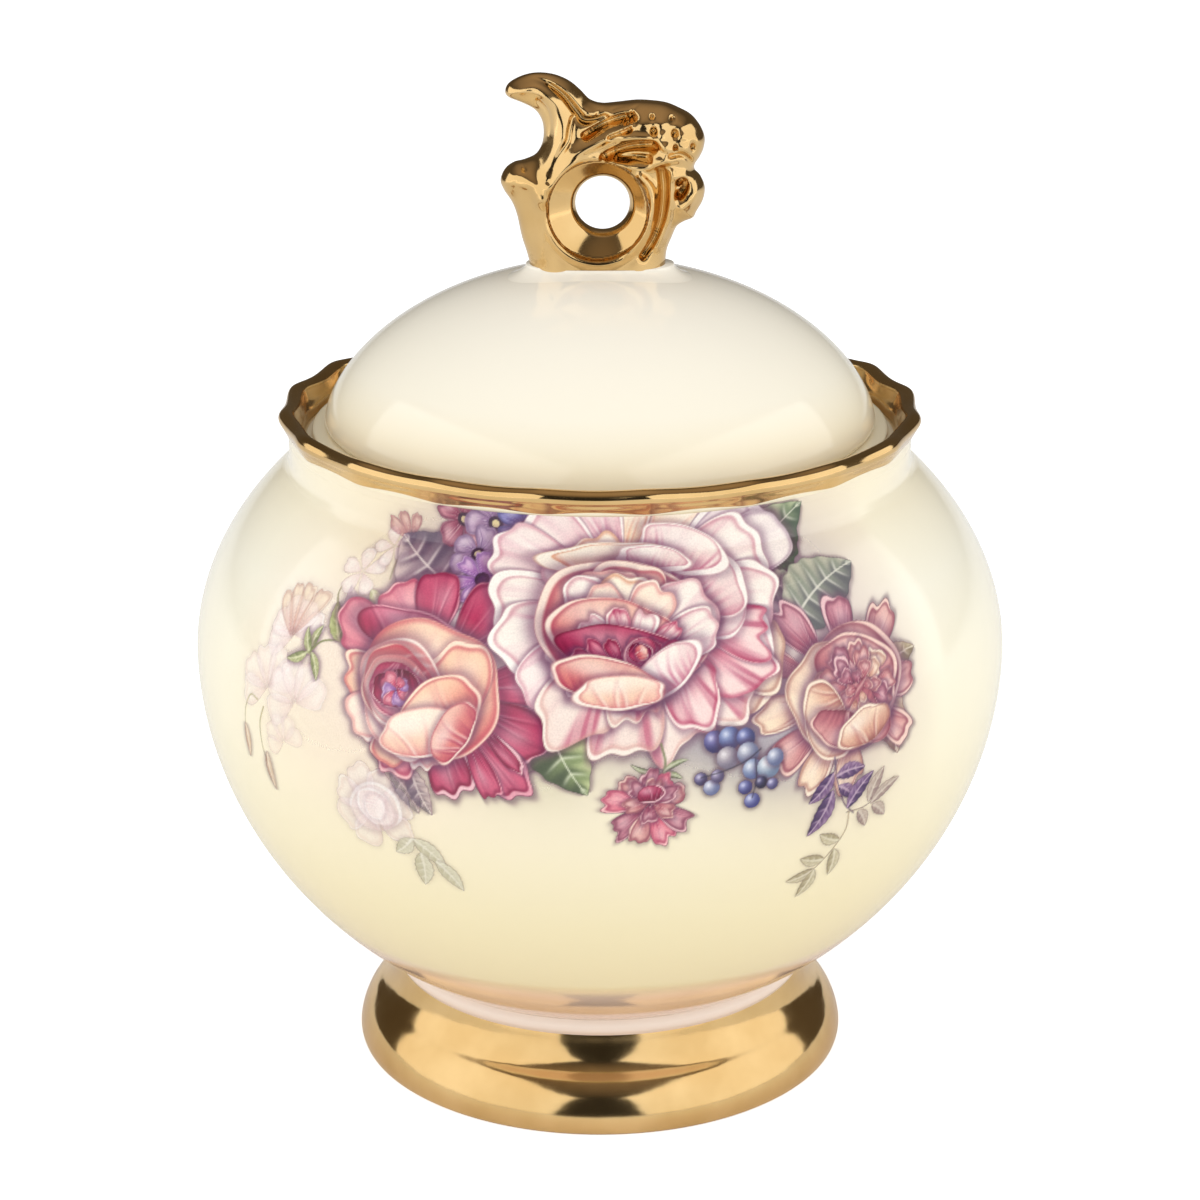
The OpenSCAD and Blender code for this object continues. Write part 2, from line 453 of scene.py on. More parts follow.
def wall_line():
    """The outside of the wall from the foot up the neck, as (radius, height)."""
    outer = belly_line(BELLY_FOOT, NECK_Z - 0.6, 150)
    neck = spline(
        [
            outer[-1],
            (NECK_WAIST + 0.02, NECK_Z + 0.5),
            (NECK_WAIST, LEDGE_Z - 0.6),
            (NECK_WAIST, LEDGE_Z),
        ],
        6,
    )
    return np.vstack([outer, neck[1:]])


def make_belly(material):
    lip = 0.5
    mouth = [
        (MOUTH_R + lip, LEDGE_Z),
        (MOUTH_R + lip * 0.3, LEDGE_Z - lip * 0.3),
        (MOUTH_R, LEDGE_Z - lip),
        (MOUTH_R, LEDGE_Z - MOUTH_LAND),
    ]
    throat_r = float(belly_r(np.array(THROAT_Z), WALL))
    throat = [(MOUTH_R, LEDGE_Z - MOUTH_LAND), (MOUTH_R + 1.6, LEDGE_Z - 4), (throat_r, THROAT_Z)]
    throat = spline(throat, 6)[1:]
    floor_z = BELLY_FOOT + FLOOR_THICKNESS
    inner = belly_line(THROAT_Z - 0.5, floor_z + 1, 110, WALL)
    bottom = [(inner[-1][0] - 2, floor_z + 0.2), (inner[-1][0] - 5, floor_z), (0, floor_z)]
    profile = np.vstack([[(0, BELLY_FOOT)], wall_line(), mouth, throat, inner, bottom])
    piece = lathe("belly", profile, material, 288)
    place(piece, "bowl", "cream_glaze", "bowl_body")


def lobe(angle):
    """How far the rim stands out at an angle: 1 at a lobe's point, about -1 between lobes."""
    s = np.sin(LOBES * (angle - FRONT - math.radians(LOBE_FRONT)) / 2)
    return 1 - 2 * np.sqrt((s * s + LOBE_SOFTNESS) / (1 + LOBE_SOFTNESS))


def make_rim(gold, cream):
    """The wavy rolled lip. Its lowest band outside is bare glaze, with the gilding's edge wavy above."""
    bead = [
        (BEAD_CENTRE + BEAD_R * math.cos(math.radians(a)), BEAD_Z + BEAD_R * math.sin(math.radians(a)), 1)
        for a in range(-40, 200, 20)
    ]
    section = spline(
        [
            (LEDGE_R + 0.02, LEDGE_Z + 0.02, 0),
            (NECK_WAIST - 0.3, LEDGE_Z + 0.01, 0),
            (NECK_WAIST + 0.01, LEDGE_Z + 0.01, 0),
            (NECK_WAIST + 0.04, LEDGE_Z + 0.6, 0.1),
            (NECK_WAIST + 0.15, LEDGE_Z + 1.2, 0.2),
            (BEAD_CENTRE + BEAD_R * 0.5, BEAD_Z - BEAD_R * 1.15, 0.7),
            *bead,
            (BEAD_CENTRE - BEAD_R * 1.35, BEAD_Z - BEAD_R, 0.7),
            (LEDGE_R + 0.4, LEDGE_Z + 1.4, 0.2),
        ],
        6,
        closed=True,
    )
    angle = np.linspace(0, 2 * np.pi, LOBES * 36, endpoint=False)
    wave = lobe(angle)[:, None]
    out = wave * section[None, :, 2]
    r = section[None, :, 0] + LOBE_DEPTH * out
    z = section[None, :, 1] + LOBE_LIFT * out
    outside = section[:, 0] > NECK_WAIST - 0.7
    # The gilding's edge dips and rises with the lobes.
    z = z - 0.3 * wave * np.where(outside, bell(section[:, 1] - GILDING_Z, 0.7), 0)[None, :]
    points = np.stack([r * np.cos(angle)[:, None], r * np.sin(angle)[:, None], z], -1).reshape(-1, 3)
    faces = grid_faces(len(angle), len(section), wrap_rows=True, wrap_columns=True)
    piece = mesh_piece("rim", points, faces, gold)
    piece.data.materials.append(cream)
    bare = outside & (section[:, 1] < GILDING_Z) & (np.roll(section[:, 1], -1) < GILDING_Z + 0.15)
    piece.data.polygons.foreach_set("material_index", np.tile(bare, len(angle)).astype(np.int32))
    place(piece, "bowl", "gold_lustre", "gilded_rim")


def make_collar(material):
    side = spline(
        [
            (FOOT_TOP_R, FOOT_TOP_Z),
            (FOOT_TOP_R + 0.36, FOOT_TOP_Z + 0.7),
            (FOOT_TOP_R + 0.4, FOOT_TOP_Z + 1.5),
            (FOOT_TOP_R + 0.2, BELLY_FOOT),
        ],
        8,
    )
    profile = np.vstack([[(0, FOOT_TOP_Z)], side, [(0, BELLY_FOOT)]])
    place(lathe("collar", profile, material), "bowl", "blush_glaze", "foot_collar")


def make_foot(material):
    """A steep neck, a sloping shoulder and a rounded edge, hollow underneath."""
    outside = [
        (FOOT_R - 0.8, 0), (FOOT_R - 0.25, 0.5), (FOOT_R, 1.5), (FOOT_R - 0.1, 2.6), (FOOT_R - 0.5, 4),
        (FOOT_R - 1.2, 5.5), (FOOT_R - 2.4, 7.1), (FOOT_R - 3.7, 8.4), (FOOT_R - 4.65, 9.7),
        (FOOT_R - 5.3, 11.2), (FOOT_TOP_R, FOOT_TOP_Z),
    ]
    inside = [
        (FOOT_TOP_R - 3.4, FOOT_TOP_Z), (FOOT_TOP_R - 2.4, FOOT_TOP_Z * 0.7),
        (FOOT_R - 5.4, FOOT_TOP_Z * 0.25), (FOOT_R - 3.4, 0.3), (FOOT_R - 3.0, 0),
    ]
    profile = np.vstack([spline(outside, 12), spline(inside, 8)])
    place(lathe("foot", profile, material, 320), "bowl", "gold_lustre", "gilded_foot")


DOME_INNER_TOP = DOME_BASE + DOME_RISE - DOME_WALL


def make_lid(material):
    """The dome; the pad under the finial, made apart, sits on its crown."""
    rise = [(DOME_R - 0.6, DOME_FOOT_Z), (DOME_R - 0.3, DOME_FOOT_Z + 0.3), (DOME_R, DOME_BASE + 0.3)]
    rise = spline(rise, 6)[:-1]
    share = np.linspace(0.02, 0.985, 110)
    z = DOME_BASE + DOME_RISE * np.sin(share * np.pi / 2)
    outer = np.stack([dome_r(z), z], -1)
    zi = DOME_BASE + (DOME_INNER_TOP - DOME_BASE) * np.sin(np.linspace(1, 0, 60) * np.pi / 2)
    inner = np.stack([dome_r(zi, DOME_WALL), zi], -1)
    crown = [(0, DOME_BASE + DOME_RISE - 0.9)]
    profile = np.vstack([rise, outer, crown, inner, [(DOME_R - 0.6 - DOME_WALL, DOME_FOOT_Z)]])
    place(lathe("dome", profile, material, 320), "lid", "cream_glaze", "lid_dome")


def make_flange(material):
    edge = 0.5
    brim = spline(
        [
            (BRIM_R - edge, LEDGE_Z),
            (BRIM_R - 0.1, LEDGE_Z + 0.15),
            (BRIM_R, LEDGE_Z + edge),
            (BRIM_R, DOME_FOOT_Z - edge),
            (BRIM_R - 0.1, DOME_FOOT_Z - 0.15),
            (BRIM_R - edge, DOME_FOOT_Z),
        ],
        4,
    )
    ring = 37.8
    profile = np.vstack(
        [[(ring - 2.6, FLANGE_LOW), (ring - edge, FLANGE_LOW), (ring, FLANGE_LOW + edge), (ring, LEDGE_Z)],
         brim, [(ring - 2.6, DOME_FOOT_Z)]]
    )
    place(lathe("flange", profile, material), "lid", "cream_glaze", "lid_flange")


def make_pad(material):
    """The glaze drawn up round the finial's root, from the dome up to the root's outline."""
    turns, rings = 160, 22
    angle = np.linspace(0, 2 * np.pi, turns, endpoint=False)
    c, s = np.cos(angle), np.sin(angle)
    points = []
    for i in range(rings):
        t = i / (rings - 1)
        grow = (1 - t) ** 1.6
        x = (10.3 + 4.2 * grow) * np.sign(c) * np.abs(c) ** 0.85
        y = (4.9 + 4.4 * grow) * np.sign(s) * np.abs(s) ** 0.85
        r = np.hypot(x, y)
        low_z = dome_z(r) - 0.12
        high_z = PAD_TOP_Z + 0.05 * np.cos(2 * angle)
        points.append(np.stack([x, y, low_z + (high_z - low_z) * t**2.1], -1))
    points.append(np.tile([[0, 0, PAD_TOP_Z]], (turns, 1)))
    points = np.vstack(points)
    faces = grid_faces(rings + 1, turns, wrap_columns=True)
    piece = mesh_piece("pad", points, faces, material, 180)
    merge_doubles(piece)
    place(piece, "lid", "cream_glaze", "finial_pad")


# ---------------------------------------------------------------- finial
# The finial is the surface where a squared depth, drawn over the X-Z plane, equals y squared.

EYE_X, EYE_Z, EYE_R = 0.35, 125.85, 3.75
DISH_X, DISH_Z, DISH_R = -0.3, 125.5, 6.85
FINIAL_CUT = 116.0
FRONT_SHIFT = 0.344
OUTLINE = [
    (-9.9, 112), (-9.8, 117.1), (-10.9, 121.2), (-11.5, 124.1), (-12.2, 126), (-13.3, 127.7),
    (-13.75, 129.1), (-13.1, 130.6), (-11.9, 131.5), (-10.4, 131.9), (-8.8, 132.7), (-7.9, 134.4),
    (-7.8, 136.5), (-8.3, 138), (-9.2, 139), (-10.8, 139.8), (-12.5, 140.5), (-13, 141.3),
    (-12.5, 142.4), (-11, 143.3), (-9.2, 143.8), (-7.3, 143.8), (-5.6, 143.4), (-4, 142.6),
    (-2.6, 141.4), (-1.4, 140.2), (0.2, 139.7), (2.1, 139.8), (5, 140.1), (7.3, 140), (9.2, 139.7),
    (10.9, 139), (12.5, 138.1), (13.7, 136.7), (14.4, 135.1), (14.3, 133.6), (13.8, 132.4),
    (13.1, 131.3), (13.1, 130.5), (13.9, 129.6), (14.5, 128.1), (14.3, 126.4), (13.4, 124.7),
    (12.9, 123.8), (11.7, 123.3), (10.7, 122.6), (10, 121.1), (9.3, 119.2), (9.1, 116.7), (9.1, 112),
]
# Ridges and grooves: the path, the width at its two ends and the height, negative for a cut.
STROKES = [
    # Plume: front lobe, the crease behind it, the groove on its left, the rear lobe, a flute
    (
        [
            (-10.9, 141.7), (-8.7, 141.6), (-6.9, 139.9), (-5.9, 137.5), (-5.4, 135.6), (-5.5, 133.7),
            (-6.6, 131.5), (-7.3, 129.6), (-8, 126),
        ],
        1.2, 1.3, 0.8,
    ),
    (
        [
            (-9.4, 143.3), (-7.3, 142.2), (-5.1, 140.4), (-4, 139.1), (-3, 137.7), (-2.1, 136.7),
            (-0.6, 136.8), (0.6, 137.3),
        ],
        0.45, 0.6, -1.3,
    ),
    ([(-8.4, 139.6), (-7.2, 138.2), (-6.9, 136.6), (-7.1, 134.9)], 0.3, 0.45, -0.5),
    ([(-7.2, 143.6), (-4.8, 142.2), (-2.9, 140.2), (-1.4, 138.5)], 1.1, 1.0, 0.8),
    ([(-3.7, 137), (-4.1, 135.3), (-4.4, 133.7), (-5.7, 131.5), (-6.9, 128.4)], 0.4, 0.7, -0.6),
    # Leaf blade and the hollows over and under it
    ([(-6.4, 128.4), (-4.6, 130.6), (-2.6, 132.4), (0.2, 134), (2.4, 135), (4.1, 136.1)], 1.5, 0.35, 1.0),
    ([(-2, 134.5), (-0.2, 135.7), (1.8, 136.6), (3.4, 137.1), (4.3, 136.9)], 0.45, 0.75, -1.9),
    ([(1.3, 134.4), (2.9, 135), (3.9, 135.3)], 0.3, 0.4, -1.0),
    ([(0.6, 131.4), (2.2, 132.1), (4.4, 132.7), (7, 132.9)], 0.5, 0.75, -2.3),
    ([(2.5, 131.3), (4.6, 131.5), (6.4, 131.3)], 0.5, 0.5, -1.2),
    # Throat between plume and pod
    ([(0.4, 139.4), (0.3, 138.6), (-0.4, 137.7)], 0.2, 0.22, -0.35),
    ([(5.2, 139.2), (4.5, 138.4), (4.3, 137.3), (3.6, 136.2)], 0.25, 0.35, -0.8),
    ([(1.7, 138.5), (2.3, 138.8), (3, 139)], 0.25, 0.3, -0.8),
    # Lips of the pod
    (
        [(3.2, 134.2), (5, 134.2), (6.8, 133.9), (8.2, 133.3), (9.2, 132.2), (8.6, 131.2), (7.4, 130.9)],
        0.7, 0.6, 0.6,
    ),
    ([(1.2, 130.7), (3.6, 130.4), (6, 130), (8.4, 130.6), (10.4, 131.4)], 0.5, 0.6, 0.5),
    ([(9.6, 131.6), (11.2, 131.8), (12.4, 131.2)], 0.35, 0.4, -0.7),
    # Bands between the dish and the volute, and the volute's curl and pit
    ([(5.6, 129), (6.9, 127.4), (7.25, 125.4), (6.8, 123.1), (5.5, 120.6), (3.4, 118.6)], 0.5, 0.6, 0.8),
    (
        [(8.5, 129.2), (8.7, 127.6), (8.75, 126), (8.6, 124.2), (8.3, 122.4), (7.4, 120), (5.9, 117.6)],
        0.55, 0.4, -1.4,
    ),
    ([(9.9, 129.6), (9.9, 127.4), (9.7, 124.6), (9, 121.8), (7.8, 119.2)], 0.5, 0.6, 0.7),
    (
        [(10.6, 129), (12.2, 129.3), (13.3, 128.3), (13.2, 126.6), (12.2, 125.4), (11.2, 124.6)], 0.7, 0.8,
        0.8,
    ),
    ([(10.9, 128), (11.3, 128.4), (11.7, 127.9), (11.5, 127), (11, 126.3)], 0.3, 0.45, -2.2),
    # Bud on the left and the panel under it
    ([(-12.4, 129.6), (-11, 129.6), (-9.8, 128.4)], 1.3, 1.0, 0.6),
    ([(-11, 131.1), (-10.6, 130.6), (-10.3, 130)], 0.2, 0.2, -0.4),
    ([(-8.9, 127.6), (-8.3, 125), (-8.2, 121), (-8.4, 117.5)], 0.7, 0.8, 0.4),
]
PITS = [
    (7.1, 137.1, 0.36), (9.9, 137, 0.42), (7.3, 134.9, 0.52), (10.2, 134.7, 0.52), (10.3, 132.7, 0.3),
    (12.7, 133, 0.42),
]
BERRIES = [
    (8.4, 136.4, 0.9), (11.4, 136.2, 0.9), (8.5, 134.5, 0.6), (11.4, 134.4, 0.7), (9, 132.9, 0.6),
    (11.6, 132.6, 0.7), (5.6, 136.4, 1.2), (13, 134.6, 0.7), (8, 131.9, 0.9),
]


def line_distance(x, z, line, closed=False):
    """Distance from each point to a line, and the share of the line's length passed there."""
    line = np.asarray(line, float)
    starts = line if closed else line[:-1]
    ends = np.roll(line, -1, 0) if closed else line[1:]
    best, along = np.full(np.shape(x), 1e9), np.zeros(np.shape(x))
    for i, (a, b) in enumerate(zip(starts, ends)):
        e = b - a
        t = np.clip(((x - a[0]) * e[0] + (z - a[1]) * e[1]) / (e @ e), 0, 1)
        d = np.hypot(x - a[0] - t * e[0], z - a[1] - t * e[1])
        near = d < best
        best = np.where(near, d, best)
        along = np.where(near, (i + t) / len(starts), along)
    return best, along


def is_inside(x, z, line):
    """True where a point lies inside a closed line."""
    found = np.zeros(np.shape(x), bool)
    for a, b in zip(line, np.roll(line, -1, 0)):
        if a[1] != b[1]:
            found ^= ((a[1] > z) != (b[1] > z)) & (x < a[0] + (b[0] - a[0]) * (z - a[1]) / (b[1] - a[1]))
    return found


def bell(v, width):
    return np.exp(-((v / width) ** 2))


def mound(x, z, cx, cz, rx, rz=None):
    return np.exp(-(((x - cx) / rx) ** 2) - ((z - cz) / (rz or rx)) ** 2)


def step_up(v, width):
    return 1 / (1 + np.exp(-v / width))


def carving(x, z):
    """Height of the ridges, grooves, pits and berries over the plain body."""
    total = np.zeros(np.shape(x))
    for path, first, last, height in STROKES:
        d, along = line_distance(x, z, spline(path, 4))
        total += height * bell(d, first + (last - first) * along)
    for cx, cz, r in PITS:
        total -= 1.1 * mound(x, z, cx, cz, r * 0.8, r * 1.25)
    for cx, cz, r in BERRIES:
        total += 0.35 * mound(x, z, cx, cz, r)
    return total


def squared_depth(x, z, outline, back):
    """The squared half thickness of the finial; negative outside it and in its eye."""
    d, _ = line_distance(x, z, outline, closed=True)
    d = np.where(is_inside(x, z, outline), d, -d)
    edge = 1 - (1 - np.clip(d / 4.6, -1, 1)) ** 2
    eye = np.hypot(x - EYE_X, z - EYE_Z) - EYE_R
    lip = 1 - (1 - np.clip(eye / 0.75, -1, 1)) ** 2
    body = 4.3 - 1.5 * step_up(z - 136.5 + 0.35 * (x + 4), 1.2) * step_up(0.5 - x, 1.2)
    body += 0.5 * mound(x, z, 9, 135.3, 4.6, 4.2) - 0.6 * mound(x, z, 12.2, 127, 2.6, 3)
    body += 0.3 * mound(x, z, 0, 117, 12, 3) - 0.5 * mound(x, z, -11.5, 128.5, 3, 3.4)
    blend = np.clip(d / 1.6, 0, 1)
    # The front is seen from above, so its carving is drawn lower by a share of the depth.
    shift = 0 if back else FRONT_SHIFT * body * np.sqrt(np.clip(edge, 0, 1))
    body += carving(x, z - shift) * blend**2 * (3 - 2 * blend) * (0.6 if back else 1)
    body = np.maximum(body, 0.9)
    dish = DISH_R - np.hypot(x - DISH_X, z - DISH_Z)
    ring = np.clip(eye, 0, None)
    share = ring / np.clip(ring + np.clip(dish, 0, None), 1e-6, None)
    funnel = np.clip(1.5 + 2.1 * share**1.1 + np.clip(-dish, 0, None) * 12, 0, 20)
    body += 0.3 * bell(dish + 0.6, 0.5)
    body = -np.log(np.exp(-3.2 * body) + np.exp(-3.2 * funnel)) / 3.2
    return body**2 * np.where((edge > 0) & (lip > 0), edge * lip, np.minimum(edge, lip))


def surface_net(field, origin, size):
    """Points and quads of the surface where a 3-D field is zero; the field is negative inside."""
    sign = field < 0
    n = np.array(field.shape)
    corners = [(i, j, k) for i in (0, 1) for j in (0, 1) for k in (0, 1)]
    count = sum(sign[i : n[0] - 1 + i, j : n[1] - 1 + j, k : n[2] - 1 + k].astype(int) for i, j, k in corners)
    active = (count > 0) & (count < 8)
    cells = np.argwhere(active)
    index = np.full(active.shape, -1)
    index[active] = np.arange(len(cells))
    total, hits = np.zeros((len(cells), 3)), np.zeros(len(cells))
    for start in corners:
        for axis in range(3):
            if start[axis]:
                continue
            base = np.array(start)
            end = base.copy()
            end[axis] = 1
            a, b = field[tuple((cells + base).T)], field[tuple((cells + end).T)]
            cross = (a < 0) != (b < 0)
            t = np.where(cross, a / np.where(cross, a - b, 1), 0)
            total += (base + t[:, None] * (end - base)) * cross[:, None]
            hits += cross
    quads = []
    for axis in range(3):
        u, v = np.eye(3, dtype=int)[(axis + 1) % 3], np.eye(3, dtype=int)[(axis + 2) % 3]
        edges = np.argwhere(sign != np.roll(sign, -1, axis))
        keep = edges[:, axis] < n[axis] - 1
        for other in ((axis + 1) % 3, (axis + 2) % 3):
            keep &= (edges[:, other] > 0) & (edges[:, other] < n[other] - 1)
        edges = edges[keep]
        quad = np.stack([index[tuple((edges - o).T)] for o in (u + v, v, 0 * u, u)], -1)
        flip = ~sign[tuple(edges.T)]
        quad[flip] = quad[flip][:, ::-1]
        quads.append(quad)
    return origin + (cells + total / hits[:, None]) * size, np.vstack(quads)


def cubic_sample(grid, u, v):
    """Smooth values of a 2-D grid at fractional places."""
    i, j = np.clip(u.astype(int), 1, grid.shape[0] - 3), np.clip(v.astype(int), 1, grid.shape[1] - 3)

    def weights(t):
        a, b = t**2, t**3
        return 0.5 * np.stack([-t + 2 * a - b, 2 - 5 * a + 3 * b, t + 4 * a - 3 * b, b - a])

    wu, wv = weights(u - i), weights(v - j)
    return sum(wu[a] * wv[b] * grid[i + a - 1, j + b - 1] for a in range(4) for b in range(4))


def make_finial(material):
    size = 0.16
    outline = spline(OUTLINE, 6, closed=True)
    x, z = np.arange(-14.7, 15.5, size), np.arange(FINIAL_CUT - 0.5, 144.9, size)
    half = 36
    y = np.arange(-half, half + 1) * size
    gx, gz = np.meshgrid(x, z, indexing="ij")
    depth = [squared_depth(gx, gz, outline, back) for back in (False, True)]
    both = np.where((y > 0)[None, :, None], depth[1][:, None, :], depth[0][:, None, :])
    field = np.maximum(y[None, :, None] ** 2 - both, 8 * (FINIAL_CUT - gz)[:, None, :])
    p, quads = surface_net(field, np.array([x[0], y[0], z[0]]), size)

    # Settle each point on the surface, which leaves the gold free of steps.
    e = 0.05
    for _ in range(3):
        u, v = (p[:, 0] - x[0]) / size, (p[:, 2] - z[0]) / size
        g, gu, gv = (
            np.where(
                p[:, 1] > 0, cubic_sample(depth[1], u + a, v + b), cubic_sample(depth[0], u + a, v + b)
            )
            for a, b in ((0, 0), (e, 0), (0, e))
        )
        slope = np.stack([(g - gu) / e / size, 2 * p[:, 1], (g - gv) / e / size], -1)
        move = -(p[:, 1] ** 2 - g)[:, None] * slope / np.maximum((slope**2).sum(-1), 1e-2)[:, None]
        length = np.linalg.norm(move, axis=-1, keepdims=True)
        move *= np.minimum(1, size * 0.4 / np.maximum(length, 1e-9))
        move[p[:, 2] < FINIAL_CUT + size] = 0
        p = p + move
    piece = mesh_piece("sculpted_finial", p, quads.tolist(), material, 180)
    place(piece, "lid", "gold_lustre", "finial")


# ---------------------------------------------------------------- the painted transfer
# A spray of roses is painted by formula on a fine grid over the belly's front. Places on the
# belly are (degrees from the front, millimetres up the wall from its widest line); shapes are in
# millimetres from such a place, x to the right and y up. Colours are sRGB, 0 to 255.


def smooth(t):
    t = np.clip(t, 0, 1)
    return t * t * (3 - 2 * t)


def halo(gap, reach):
    """A soft shade round a shape whose edge is where gap is 0."""
    return bell(np.maximum(-gap, 0), reach)


def rgb(colour):
    return np.asarray(colour, float) / 255


def mix(a, b, t):
    return a + (b - a) * np.clip(t, 0, 1)[..., None]


class Sheet:
    """The painting: colour and cover at each point of a grid over the wall."""

    def __init__(self, left, right, bottom, top, step, radius, rng):
        self.rng = rng
        self.degrees = np.arange(left, right, math.degrees(step / BELLY_R))
        self.rise = np.arange(bottom, top, step)
        self.radius = radius(self.rise)
        self.colour = np.zeros((len(self.rise), len(self.degrees), 3))
        self.cover = np.zeros(self.colour.shape[:2])

    def window(self, place, reach):
        """The part of the grid within reach of a place, and its x and y from there."""
        scale = np.radians(np.interp(place[1], self.rise, self.radius))
        cols = np.nonzero(np.abs(self.degrees - place[0]) * scale * 0.8 < reach + 1)[0]
        rows = np.nonzero(np.abs(self.rise - place[1]) < reach + 1)[0]
        part = (slice(rows[0], rows[-1] + 1), slice(cols[0], cols[-1] + 1))
        x = np.radians(self.degrees[part[1]] - place[0])[None, :] * self.radius[part[0]][:, None]
        y = np.broadcast_to((self.rise[part[0]] - place[1])[:, None], x.shape)
        return part, x, y

    def lay(self, part, colour, cover):
        """Paints colour over a part, as solid as cover says."""
        cover = np.clip(cover, 0, 1)
        under = self.cover[part] * (1 - cover)
        total = cover + under
        blend = np.broadcast_to(colour, (*cover.shape, 3)) * cover[..., None]
        blend = blend + self.colour[part] * under[..., None]
        self.colour[part] = np.where(
            total[..., None] > 1e-4, blend / np.maximum(total, 1e-4)[..., None], colour
        )
        self.cover[part] = total


def waves(u, rng, first, last, power=1.0):
    """A smooth random wave of u, about -1 to 1."""
    total, size = np.zeros(np.shape(u)), 0.0
    for k in range(first, last + 1):
        weight = k**-power
        total += weight * np.sin(k * u + rng.uniform(0, 2 * np.pi))
        size += weight**2
    return total / np.sqrt(size)


def turned(x, y, at, turn):
    c, s = math.cos(math.radians(turn)), math.sin(math.radians(turn))
    return (x - at[0]) * c + (y - at[1]) * s, (y - at[1]) * c - (x - at[0]) * s


SHADE = rgb((96, 52, 84))

# Tones of a petal: base, middle, tip and turned edge, then the streaks' colour and their strength at
# the base and at the tip.
TONES = {
    "shell": ((196, 120, 138), (240, 208, 204), (253, 242, 230), (255, 250, 240), (190, 86, 122), 0.55, 0.2),
    "rib": ((204, 132, 150), (232, 186, 190), (251, 234, 226), (255, 248, 240), (196, 106, 138), 0.8, 0.35),
    "peach": ((206, 120, 84), (247, 212, 170), (254, 242, 220), (255, 248, 232), (226, 150, 130), 0.45, 0.1),
    "mauve": ((150, 118, 140), (222, 198, 208), (250, 238, 230), (253, 246, 238), (170, 128, 156), 0.4, 0.1),
    "skirt": ((214, 160, 150), (246, 222, 206), (248, 226, 214), (252, 240, 226), (184, 72, 106), 0.25, 0.85),
    "flame": ((166, 34, 76), (212, 92, 118), (248, 214, 208), (253, 238, 228), (158, 30, 74), 0.9, 0.75),
    "salmon": ((170, 60, 84), (216, 118, 116), (240, 188, 170), (254, 238, 220), (166, 50, 84), 0.6, 0.2),
    "wine": ((96, 14, 44), (150, 30, 72), (190, 70, 104), (246, 206, 208), (78, 8, 38), 0.7, 0.3),
    "crimson": ((108, 16, 52), (178, 44, 84), (206, 92, 122), (236, 168, 180), (120, 18, 58), 0.5, 0.35),
    "rose": ((150, 36, 74), (212, 92, 116), (232, 146, 156), (246, 198, 196), (160, 40, 84), 0.45, 0.25),
    "coral": ((190, 64, 84), (232, 138, 122), (248, 204, 170), (254, 230, 206), (206, 90, 96), 0.45, 0.15),
    "blush": ((216, 126, 128), (248, 208, 182), (254, 236, 214), (255, 246, 232), (222, 140, 140), 0.3, 0.1),
    "dusty": ((112, 34, 58), (184, 102, 112), (224, 168, 160), (244, 212, 196), (126, 42, 68), 0.55, 0.35),
    "plum": ((92, 26, 56), (158, 74, 98), (206, 138, 150), (240, 200, 200), (96, 26, 62), 0.6, 0.4),
    "sand": ((150, 84, 78), (222, 172, 146), (246, 222, 192), (250, 234, 212), (166, 92, 92), 0.4, 0.2),
    "ghost": (
        (232, 206, 200), (244, 226, 220), (252, 244, 238), (255, 252, 248), (226, 194, 196), 0.35, 0.15,
    ),
    "lilac": ((104, 66, 132), (172, 118, 176), (214, 168, 210), (240, 214, 236), (110, 60, 136), 0.5, 0.2),
    "violet": ((44, 40, 96), (96, 88, 156), (150, 146, 200), (206, 206, 234), (50, 44, 108), 0.5, 0.2),
    "thistle": ((90, 60, 100), (160, 126, 162), (204, 176, 200), (230, 212, 224), (100, 70, 116), 0.4, 0.2),
}


def paint_tone(tone, q, across, rng, light=0.0):
    """A petal's colour at q, 0 at its base and 1 at its tip, and across, -1 to 1."""
    base, middle, tip, edge, streak_colour, near, far = TONES[tone]
    colour = mix(rgb(base), rgb(middle), smooth(q / 0.42))
    colour = mix(colour, rgb(tip), smooth((q - 0.35) / 0.5))
    fine = smooth(0.5 + 0.9 * waves(across * 2.6 + 0.25 * np.sin(3 * q), rng, 5, 17, 0.3))
    broad = smooth(0.35 + 0.8 * waves(across * 1.7, rng, 3, 8, 0.4))
    from_base = near * fine * smooth(1.15 - q * 1.5)
    from_tip = far * broad * smooth((q - 0.42) / 0.4)
    colour = mix(colour, rgb(streak_colour), np.maximum(from_base, from_tip * (0.55 + 0.45 * fine)) * 0.8)
    colour = mix(colour, rgb(base), 0.3 * smooth((np.abs(across + 0.1) - 0.5) / 0.55))
    colour = mix(colour, rgb(base) * 0.72, 0.55 * smooth(1 - q / 0.26))
    for _ in range(4):
        bend = across - rng.uniform(-0.8, 0.8) * (0.5 + 0.5 * q) - 0.07 * np.sin(4 * q + rng.uniform(0, 6))
        fade = smooth(1.2 - q * rng.uniform(1.0, 1.5))
        colour = mix(colour, rgb(streak_colour), 0.6 * fade * bell(bend, 0.035))
        colour = mix(colour, rgb(edge), 0.5 * fade * bell(bend - 0.07, 0.04))
    gleam = smooth(1 - np.abs(q - 0.68) / 0.3) * smooth(1 - np.abs(across + 0.2) / 0.6)
    return mix(colour, np.array([1.0, 0.98, 0.94]), light * 0.5 * gleam)


